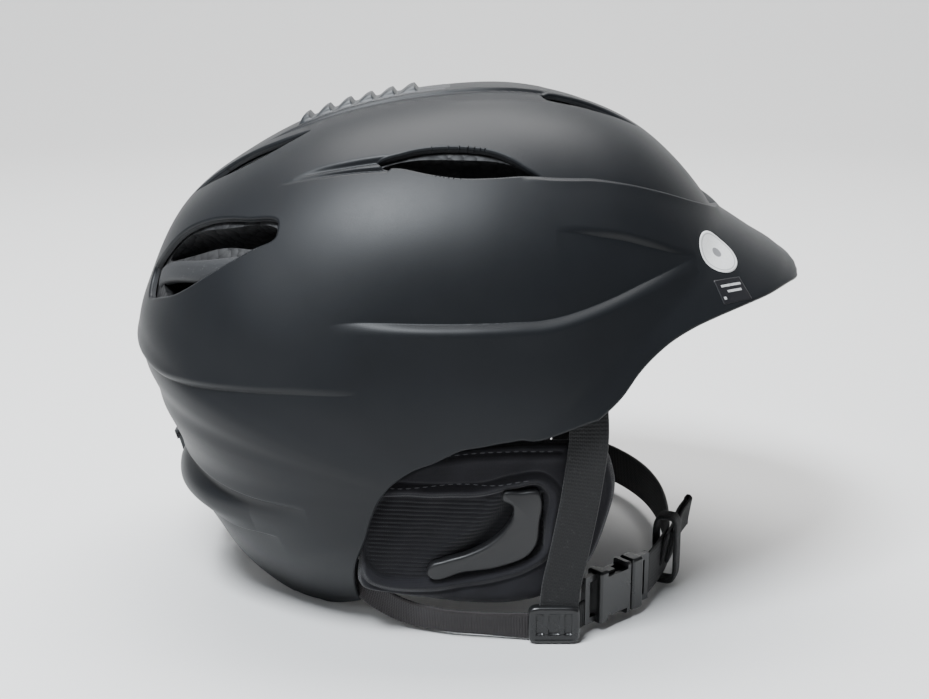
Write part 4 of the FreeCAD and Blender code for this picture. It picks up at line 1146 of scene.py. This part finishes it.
# ---------------------------------------------------------------- materials
class Nodes:
    """Short calls for building a node material. Noise scales count per metre and bumps are in metres."""

    def __init__(self, name):
        self.material = bpy.data.materials.new(name)
        self.material.use_nodes = True
        self.tree = self.material.node_tree
        self.bsdf = self.tree.nodes["Principled BSDF"]
        self.place = self.node("ShaderNodeTexCoord").outputs["Object"]

    def node(self, kind, **inputs):
        node = self.tree.nodes.new(kind)
        for key, value in inputs.items():
            self.set(node, key, value)
        return node

    def set(self, node, key, value):
        key = key.replace("_", " ")
        socket = node.inputs[key] if key in node.inputs else None
        if socket is None:
            setattr(node, key.replace(" ", "_"), value)
        elif isinstance(value, bpy.types.NodeSocket):
            self.tree.links.new(value, socket)
        else:
            socket.default_value = value

    def math(self, operation, *values):
        node = self.tree.nodes.new("ShaderNodeMath")
        node.operation = operation
        for socket, value in zip(node.inputs, values):
            if isinstance(value, bpy.types.NodeSocket):
                self.tree.links.new(value, socket)
            else:
                socket.default_value = value
        return node.outputs[0]

    def plus(self, first, second):
        return self.math("ADD", first, second)

    def minus(self, first, second):
        return self.math("SUBTRACT", first, second)

    def times(self, first, second):
        return self.math("MULTIPLY", first, second)

    def cloth(self):
        """Place on the cloth map: the vector, and its first two numbers."""
        vector = self.node("ShaderNodeAttribute", attribute_name="cloth").outputs["Vector"]
        split = self.node("ShaderNodeSeparateXYZ", Vector=vector)
        return vector, split.outputs["X"], split.outputs["Y"]

    def noise(self, scale, detail=3.0, roughness=0.6):
        node = self.node("ShaderNodeTexNoise", Scale=scale, Detail=detail, Roughness=roughness)
        self.tree.links.new(self.place, node.inputs["Vector"])
        return node.outputs["Fac"]

    def ramp(self, fac, low, high, first, last):
        node = self.tree.nodes.new("ShaderNodeMapRange")
        self.tree.links.new(fac, node.inputs["Value"])
        for key, value in zip(("From Min", "From Max", "To Min", "To Max"), (low, high, first, last)):
            node.inputs[key].default_value = value
        return node.outputs["Result"]

    def spread(self, noise, first, last):
        """Noise drawn out over the values between the two."""
        return self.ramp(noise, 0.3, 0.7, first, last)

    def mix(self, fac, first, second):
        node = self.tree.nodes.new("ShaderNodeMix")
        node.data_type = "RGBA"
        for socket, value in ((node.inputs[0], fac), (node.inputs[6], first), (node.inputs[7], second)):
            if isinstance(value, bpy.types.NodeSocket):
                self.tree.links.new(value, socket)
            elif socket == node.inputs[0]:
                socket.default_value = value
            else:
                socket.default_value = (*value, 1)
        return node.outputs[2]

    def bump(self, height, distance, strength=1.0, below=None):
        node = self.node("ShaderNodeBump", Height=height, Distance=distance, Strength=strength)
        if below is not None:
            self.tree.links.new(below, node.inputs["Normal"])
        return node.outputs["Normal"]

    def finish(self, **inputs):
        for key, value in inputs.items():
            self.set(self.bsdf, key, value)
        return self.material


def shell_plastic():
    m = Nodes("matt_shell")
    grain = m.noise(2600, 2, 0.5)
    cloud = m.noise(18, 4, 0.6)
    color = m.mix(m.spread(cloud, 0, 1), (0.0068, 0.0077, 0.0092), (0.0086, 0.0097, 0.0116))
    rough = m.plus(m.spread(cloud, 0.42, 0.47), m.spread(grain, -0.03, 0.03))
    return m.finish(Base_Color=color, Roughness=rough, Normal=m.bump(grain, 0.00003, 0.6),
                    Specular_IOR_Level=0.24)


def cut_edge():
    """Raw moulded edge with pale scuffs."""
    m = Nodes("vent_edge")
    flecks = m.ramp(m.noise(900, 4, 0.8), 0.62, 0.72, 0, 1)
    patches = m.ramp(m.noise(70, 2, 0.5), 0.45, 0.6, 0, 1)
    color = m.mix(m.times(flecks, patches), (0.018, 0.019, 0.021), (0.2, 0.2, 0.2))
    return m.finish(Base_Color=color, Roughness=0.6, Normal=m.bump(m.noise(1500, 2, 0.5), 0.0002, 0.5))


def foam_material():
    m = Nodes("bead_foam")
    beads = m.node("ShaderNodeTexVoronoi", Scale=330.0)
    m.tree.links.new(m.place, beads.inputs["Vector"])
    dome = m.math("POWER", beads.outputs["Distance"], 2.0)
    # painted shade: each bead is lighter on its domed middle and darker towards the seams with its neighbours
    return m.finish(Base_Color=m.mix(m.ramp(beads.outputs["Distance"], 0.1, 0.7, 0, 1), (0.022, 0.022, 0.023),
                                     (0.009, 0.009, 0.01)),
                    Roughness=0.62, Normal=m.bump(m.times(dome, -1.0), 0.0009, 0.6))


def woven(name, color, thread_color, warp, weft):
    """Plain weave over the cloth map: threads along, crossed by picks that pass over and under."""
    m = Nodes(name)
    _cloth, x, y = m.cloth()
    thread = m.math("DIVIDE", y, warp)
    column = m.math("FLOOR", thread)
    across = m.minus(m.times(m.math("FRACT", thread), 2.0), 1.0)
    dome = m.minus(1.0, m.times(across, across))
    turn = m.plus(m.times(x, 2 * math.pi / weft), m.times(column, math.pi))
    over = m.times(m.plus(m.math("SINE", turn), 1.0), 0.5)
    height = m.times(dome, m.plus(m.times(over, 0.65), 0.35))
    fuzz = m.noise(2400, 3, 0.7)
    dust = m.times(m.ramp(m.noise(420, 4, 0.75), 0.6, 0.72, 0, 1), 0.06)
    # painted shade: colour is darker where the threads sink between one another and under the picks, and
    # lighter on their crowns
    base = m.mix(m.ramp(height, 0.1, 0.9, 0, 1), color, thread_color)
    return m.finish(Base_Color=m.mix(dust, base, (0.35, 0.34, 0.33)), Roughness=m.spread(fuzz, 0.67, 0.8),
                    Normal=m.bump(height, 0.0001, 0.9, m.bump(fuzz, 0.00004, 0.5)), Sheen_Weight=0.15,
                    Sheen_Roughness=0.5, Specular_IOR_Level=0.3)


def knit(name, color, light, wale, course, depth=0.00012, ribs=None):
    """Knitted loops: each wale is a column of leaning stitches, with painted shade between the loops. Ribs
    paints shade into a ribbed panel's valleys and light onto its crests.
    """
    m = Nodes(name)
    _cloth, x, y = m.cloth()
    column = m.math("DIVIDE", x, wale)
    lean = m.math("ABSOLUTE", m.minus(m.math("FRACT", column), 0.5))
    row = m.plus(m.math("DIVIDE", y, course), m.times(lean, 1.3))
    loop = m.times(m.plus(m.math("SINE", m.times(row, 2 * math.pi)), 1.0), 0.5)
    edge = m.ramp(lean, 0.0, 0.12, 0.2, 1.0)
    height = m.times(loop, edge)
    fuzz = m.noise(2000, 4, 0.7)
    cloud = m.noise(55, 3, 0.5)
    dust = m.times(m.ramp(m.noise(500, 4, 0.8), 0.62, 0.74, 0, 1), 0.05)
    # painted shade between the loops and lighter loop tops, times a random cloudy tone
    painted_shade_and_tone = m.times(m.ramp(height, 0, 1, 0, 1), m.spread(cloud, 0.6, 1.0))
    if ribs:
        # painted shade in the rib valleys and painted light on the rib crests, in step with the ribs of the
        # ear pad's form
        wave = m.math("COSINE", m.times(m.plus(y, m.times(x, 0.03)),
                                       2 * math.pi / ribs))
        painted_shade_and_tone = m.times(painted_shade_and_tone, m.ramp(wave, -1, 1, 0.25, 1.5))
    base = m.mix(painted_shade_and_tone, color, light)
    return m.finish(Base_Color=m.mix(dust, base, (0.32, 0.31, 0.31)), Roughness=m.spread(fuzz, 0.78, 0.92),
                    Normal=m.bump(height, depth, 0.9, m.bump(fuzz, 0.00005, 0.5)), Sheen_Weight=0.2,
                    Sheen_Roughness=0.45, Specular_IOR_Level=0.25)


def moulded(name, color, roughness, grain_size=2600, grain_depth=0.00003, wear=0.25, gloss=0.5):
    """Injection-moulded plastic: fine grain, faint flow clouds and paler worn edges."""
    m = Nodes(name)
    grain = m.noise(grain_size, 2, 0.5)
    cloud = m.noise(75, 4, 0.6)
    scratch = m.ramp(m.noise(900, 6, 0.85), 0.66, 0.74, 0, 1)
    edge = m.ramp(m.node("ShaderNodeNewGeometry").outputs["Pointiness"], 0.52, 0.6, 0, 1)
    low = tuple(c * 0.8 for c in color)
    pale = tuple(min(c * 2.6 + 0.03, 1) for c in color)
    base = m.mix(m.spread(cloud, 0, 1), low, color)
    worn = m.math("MINIMUM", m.times(m.plus(m.times(edge, 0.7), m.times(scratch, 0.5)), wear), 1.0)
    rough = m.plus(m.spread(cloud, roughness - 0.05, roughness + 0.05), m.times(scratch, 0.1))
    return m.finish(Base_Color=m.mix(worn, base, pale), Roughness=rough,
                    Normal=m.bump(grain, grain_depth, 0.6), Specular_IOR_Level=gloss)


def steel(name, bright, stained, roughness):
    """Turned steel with fine brush marks and stains."""
    m = Nodes(name)
    brushed = m.noise(1400, 4, 0.7)
    stain = m.ramp(m.noise(160, 4, 0.6), 0.4, 0.7, 0, 1)
    return m.finish(Base_Color=m.mix(stain, bright, stained), Metallic=1.0,
                    Roughness=m.spread(brushed, roughness, roughness + 0.2),
                    Normal=m.bump(brushed, 0.00002, 0.4))


def thread_material():
    m = Nodes("sewing_thread")
    _cloth, x, y = m.cloth()
    ply = m.math("SINE", m.plus(m.times(x, 9.0), m.times(y, 2.0)))
    # painted shade in the grooves between the plies, and lighter colour on their crests
    color = m.mix(m.ramp(ply, -1, 1, 0, 1), (0.03, 0.03, 0.034), (0.075, 0.075, 0.085))
    return m.finish(Base_Color=color, Roughness=0.6, Normal=m.bump(ply, 0.00006, 0.6))


def paper_mark():
    """White round sticker with a plain grey ring and a dot."""
    m = Nodes("round_sticker")
    cloth, _x, _y = m.cloth()
    far = m.node("ShaderNodeVectorMath", operation="LENGTH")
    m.tree.links.new(cloth, far.inputs[0])
    r = far.outputs["Value"]
    ring = m.math("LESS_THAN", m.math("ABSOLUTE", m.minus(r, 8.4)), 0.28)
    dot = m.math("LESS_THAN", r, 2.2)
    ink = m.math("MAXIMUM", m.times(ring, 0.5), m.times(dot, 0.85))
    fibre = m.noise(900, 3, 0.6)
    paper = m.mix(m.spread(fibre, 0, 1), (0.72, 0.72, 0.71), (0.8, 0.8, 0.79))
    return m.finish(Base_Color=m.mix(ink, paper, (0.12, 0.12, 0.13)), Roughness=0.38,
                    Normal=m.bump(fibre, 0.00002, 0.4))


def dark_label():
    """Dark label with two plain pale bars and a spot."""
    m = Nodes("dark_label")
    _cloth, x, y = m.cloth()
    marks = None
    for cx, cy, w, h in ((0.4, 2.3, 5.2, 0.5), (0.9, -0.2, 3.6, 0.5), (-5.2, -2.8, 0.6, 0.6)):
        bar = m.times(m.math("LESS_THAN", m.math("ABSOLUTE", m.minus(x, cx)), w),
                     m.math("LESS_THAN", m.math("ABSOLUTE", m.minus(y, cy)), h))
        marks = bar if marks is None else m.math("MAXIMUM", marks, bar)
    fibre = m.noise(900, 3, 0.6)
    color = m.mix(m.times(marks, m.spread(fibre, 0.6, 0.9)), (0.012, 0.012, 0.014), (0.6, 0.6, 0.6))
    return m.finish(Base_Color=color,
                    Roughness=m.spread(fibre, 0.28, 0.36), Normal=m.bump(fibre, 0.00002, 0.3))


# ---------------------------------------------------------------- view, light and floor
CAMERA_AIM = Vector((0, 0, 0.090))
CAMERA_RISE = math.radians(16)
CAMERA_REACH = 0.650
CAMERA_LENS = 58.05
# the floor is round, and turns up into a wall
FLOOR_R, FLOOR_BEND, WALL_H, FLOOR_SIDES = 1.3, 0.6, 3.0, 96
FLOOR_SPREAD = 5  # how much further out the wall lies where it is flattened into floor


def camera():
    data = bpy.data.cameras.new("camera")
    data.lens = CAMERA_LENS
    data.sensor_width = 36
    data.clip_start = 0.01
    obj = bpy.data.objects.new("camera", data)
    bpy.context.scene.collection.objects.link(obj)
    offset = Vector((0, -math.cos(CAMERA_RISE), math.sin(CAMERA_RISE))) * CAMERA_REACH
    obj.location = CAMERA_AIM + offset
    obj.rotation_euler = (-offset).to_track_quat("-Z", "Y").to_euler()
    bpy.context.scene.camera = obj


def area_light(name, place, aim, size, power, color=(1, 1, 1)):
    data = bpy.data.lights.new(name, "AREA")
    data.shape = "RECTANGLE"
    data.size, data.size_y = size
    data.energy = power
    data.color = color
    obj = bpy.data.objects.new(name, data)
    bpy.context.scene.collection.objects.link(obj)
    obj.location = place
    obj.rotation_euler = (Vector(aim) - Vector(place)).to_track_quat("-Z", "Y").to_euler()


def studio():
    """Dim sky, a broad lamp overhead, a key lamp above the helmet and a weak one from its rear right."""
    world = bpy.data.worlds.new("world")
    bpy.context.scene.world = world
    world.use_nodes = True
    sky = world.node_tree.nodes["Background"].inputs
    sky["Color"].default_value = (0.93, 0.95, 1.0, 1)
    sky["Strength"].default_value = 0.13
    area_light("overhead", (0.0, 0.6, 1.5), (0, 0.5, 0), (1.4, 0.9), 40, (1.0, 1.0, 1.0))
    area_light("key", (-0.40, -0.52, 1.30), (-0.03, -0.05, 0.16), (0.5, 0.42), 38, (0.90, 0.95, 1.0))
    area_light("window", (-0.95, -0.75, 0.75), (-0.05, 0, 0.12), (0.4, 0.45), 2.2, (0.9, 0.95, 1.0))
    bend = [(FLOOR_R + FLOOR_BEND * math.sin(g), FLOOR_BEND - FLOOR_BEND * math.cos(g))
            for g in np.linspace(0.1, math.pi / 2, 16)]
    rows = [(0.02, 0.0), (FLOOR_R, 0.0), *bend, (FLOOR_R + FLOOR_BEND, WALL_H)]
    verts = []
    for r, z in rows:
        for g in np.linspace(0, 2 * math.pi, FLOOR_SIDES, endpoint=False):
            # the wall stands behind and flattens into more floor on the camera's side
            wall = 0.5 + 0.5 * math.tanh(3 * math.sin(g) - 0.6)
            reach = r + (1 - wall) * (r - FLOOR_R) * FLOOR_SPREAD * (r > FLOOR_R)
            verts.append((reach * math.cos(g), reach * math.sin(g), z * wall))
    faces = grid_faces(len(rows), FLOOR_SIDES, closed=True) + [tuple(range(FLOOR_SIDES - 1, -1, -1))]
    floor = new_object("floor", verts, faces, scale=1.0)
    m = Nodes("floor_white")
    floor.data.materials.append(m.finish(Base_Color=(0.78, 0.775, 0.765, 1), Roughness=0.7))


# ---------------------------------------------------------------- build
camera()
studio()
MATERIALS = {
    "shell_plastic": shell_plastic(),
    "foam": foam_material(),
    "liner_fabric": knit("liner_knit", (0.010, 0.010, 0.011), (0.032, 0.032, 0.035), wale=1.3, course=1.2),
    "ear_fabric": knit("ear_jersey", (0.0075, 0.0073, 0.0095), (0.016, 0.0155, 0.0195), wale=0.55, course=0.5,
                       depth=0.00006),
    "knit": knit("ear_ribbed_knit", (0.006, 0.006, 0.0075), (0.021, 0.0205, 0.025), wale=0.7, course=0.6,
                 ribs=RIB_PITCH),
    "webbing": woven("strap_webbing", (0.0045, 0.0045, 0.005), (0.0095, 0.0095, 0.010), warp=0.75, weft=1.45),
    "grey_elastic": woven("rear_elastic", (0.014, 0.012, 0.0125), (0.036, 0.031, 0.0325), warp=0.8, weft=1.1),
    "keeper_elastic": woven("keeper_rib_elastic", (0.006, 0.006, 0.0065), (0.016, 0.016, 0.017), warp=0.8,
                            weft=0.8),
    "thread": thread_material(),
    "black_plastic": moulded("black_plastic", (0.009, 0.009, 0.0095), 0.3),
    "slider_plastic": moulded("slider_plastic", (0.021, 0.0235, 0.027), 0.45, wear=0.15),
    "grey_plastic": moulded("clip_plastic", (0.0135, 0.0135, 0.0145), 0.4, wear=0.12, gloss=0.4),
    "rubber": moulded("soft_rubber", (0.0105, 0.0105, 0.011), 0.55, grain_size=1800, grain_depth=0.00006,
                      gloss=0.35),
    "steel": steel("plated_steel", (0.52, 0.52, 0.53), (0.33, 0.32, 0.31), 0.2),
}
BLACKENED = steel("blackened_steel", (0.035, 0.035, 0.038), (0.02, 0.02, 0.021), 0.4)
OTHER_MATERIALS = {name: BLACKENED for name in ("goggle_flap_pin", "strap_rivets_right", "strap_rivets_left")}
OTHER_MATERIALS.update({name: MATERIALS["slider_plastic"] for name in ("goggle_flap", "goggle_flap_posts")})
for part in frame["record"]["subparts"]:
    node = NODES[part["node"]]
    node.data.materials.clear()
    node.data.materials.append(OTHER_MATERIALS.get(part["node"], MATERIALS[part["material_slot"]]))

piece(shell_mesh(MATERIALS["shell_plastic"], cut_edge()), "helmet", ["outer_shell"])
for side in (-1, 1):
    piece(rear_bar(side, bpy.data.materials["vent_edge"]), "helmet")

EAR_BODIES = ["ear_right", "ear_left"]
both_sides(ear_pad_mesh, "ear_pad_cushion", EAR_BODIES, ["ear_pad"])
both_sides(ear_stitches, "ear_pad_stitches", EAR_BODIES, [])
both_sides(ear_clip, "ear_clip", EAR_BODIES, ["ear_pad_clip"])
straps()
strap_tail()
keeper()
both_sides(divider_mesh, "strap_divider_slider", ["helmet"], ["strap_divider"])
piece(slider_mesh("crown_slider"), "vent_control", ["vent_slider"])
NAPE_BODIES = ["nape_right", "nape_left"]
both_sides(nape_cushion, "nape_cushion", NAPE_BODIES, ["nape_pad"])

for name, t_range, s_range, lines in (
    ("brow_pad", (0.045, 0.13), (-0.6, 0.6), [("u", -0.5), ("u", 0), ("u", 0.5)]),
    ("crown_pad", (0.36, 0.53), (-0.22, 0.22), [("u", 0), ("v", 0)]),
    ("side_pad_right", (0.24, 0.5), (-0.82, -0.45), [("v", -0.33), ("v", 0.33)]),
    ("side_pad_left", (0.24, 0.5), (0.45, 0.82), [("v", -0.33), ("v", 0.33)]),
    ("rear_pad_right", (0.62, 0.8), (-0.55, -0.12), [("v", 0)]),
    ("rear_pad_left", (0.62, 0.8), (0.12, 0.55), [("v", 0)]),
):
    pad = piece(comfort_pad(name + "_cushion", t_range, s_range, lines), "helmet", [name])

piece(sticker("round_sticker", (39.3, -21.6), (9.6, 9.6), paper_mark(), turn=0.15), "helmet")
label = sticker("dark_label", (33.7, -26.2), (7, 5.2), dark_label(), lift=0.1, round_shape=False)
piece(label, "helmet")
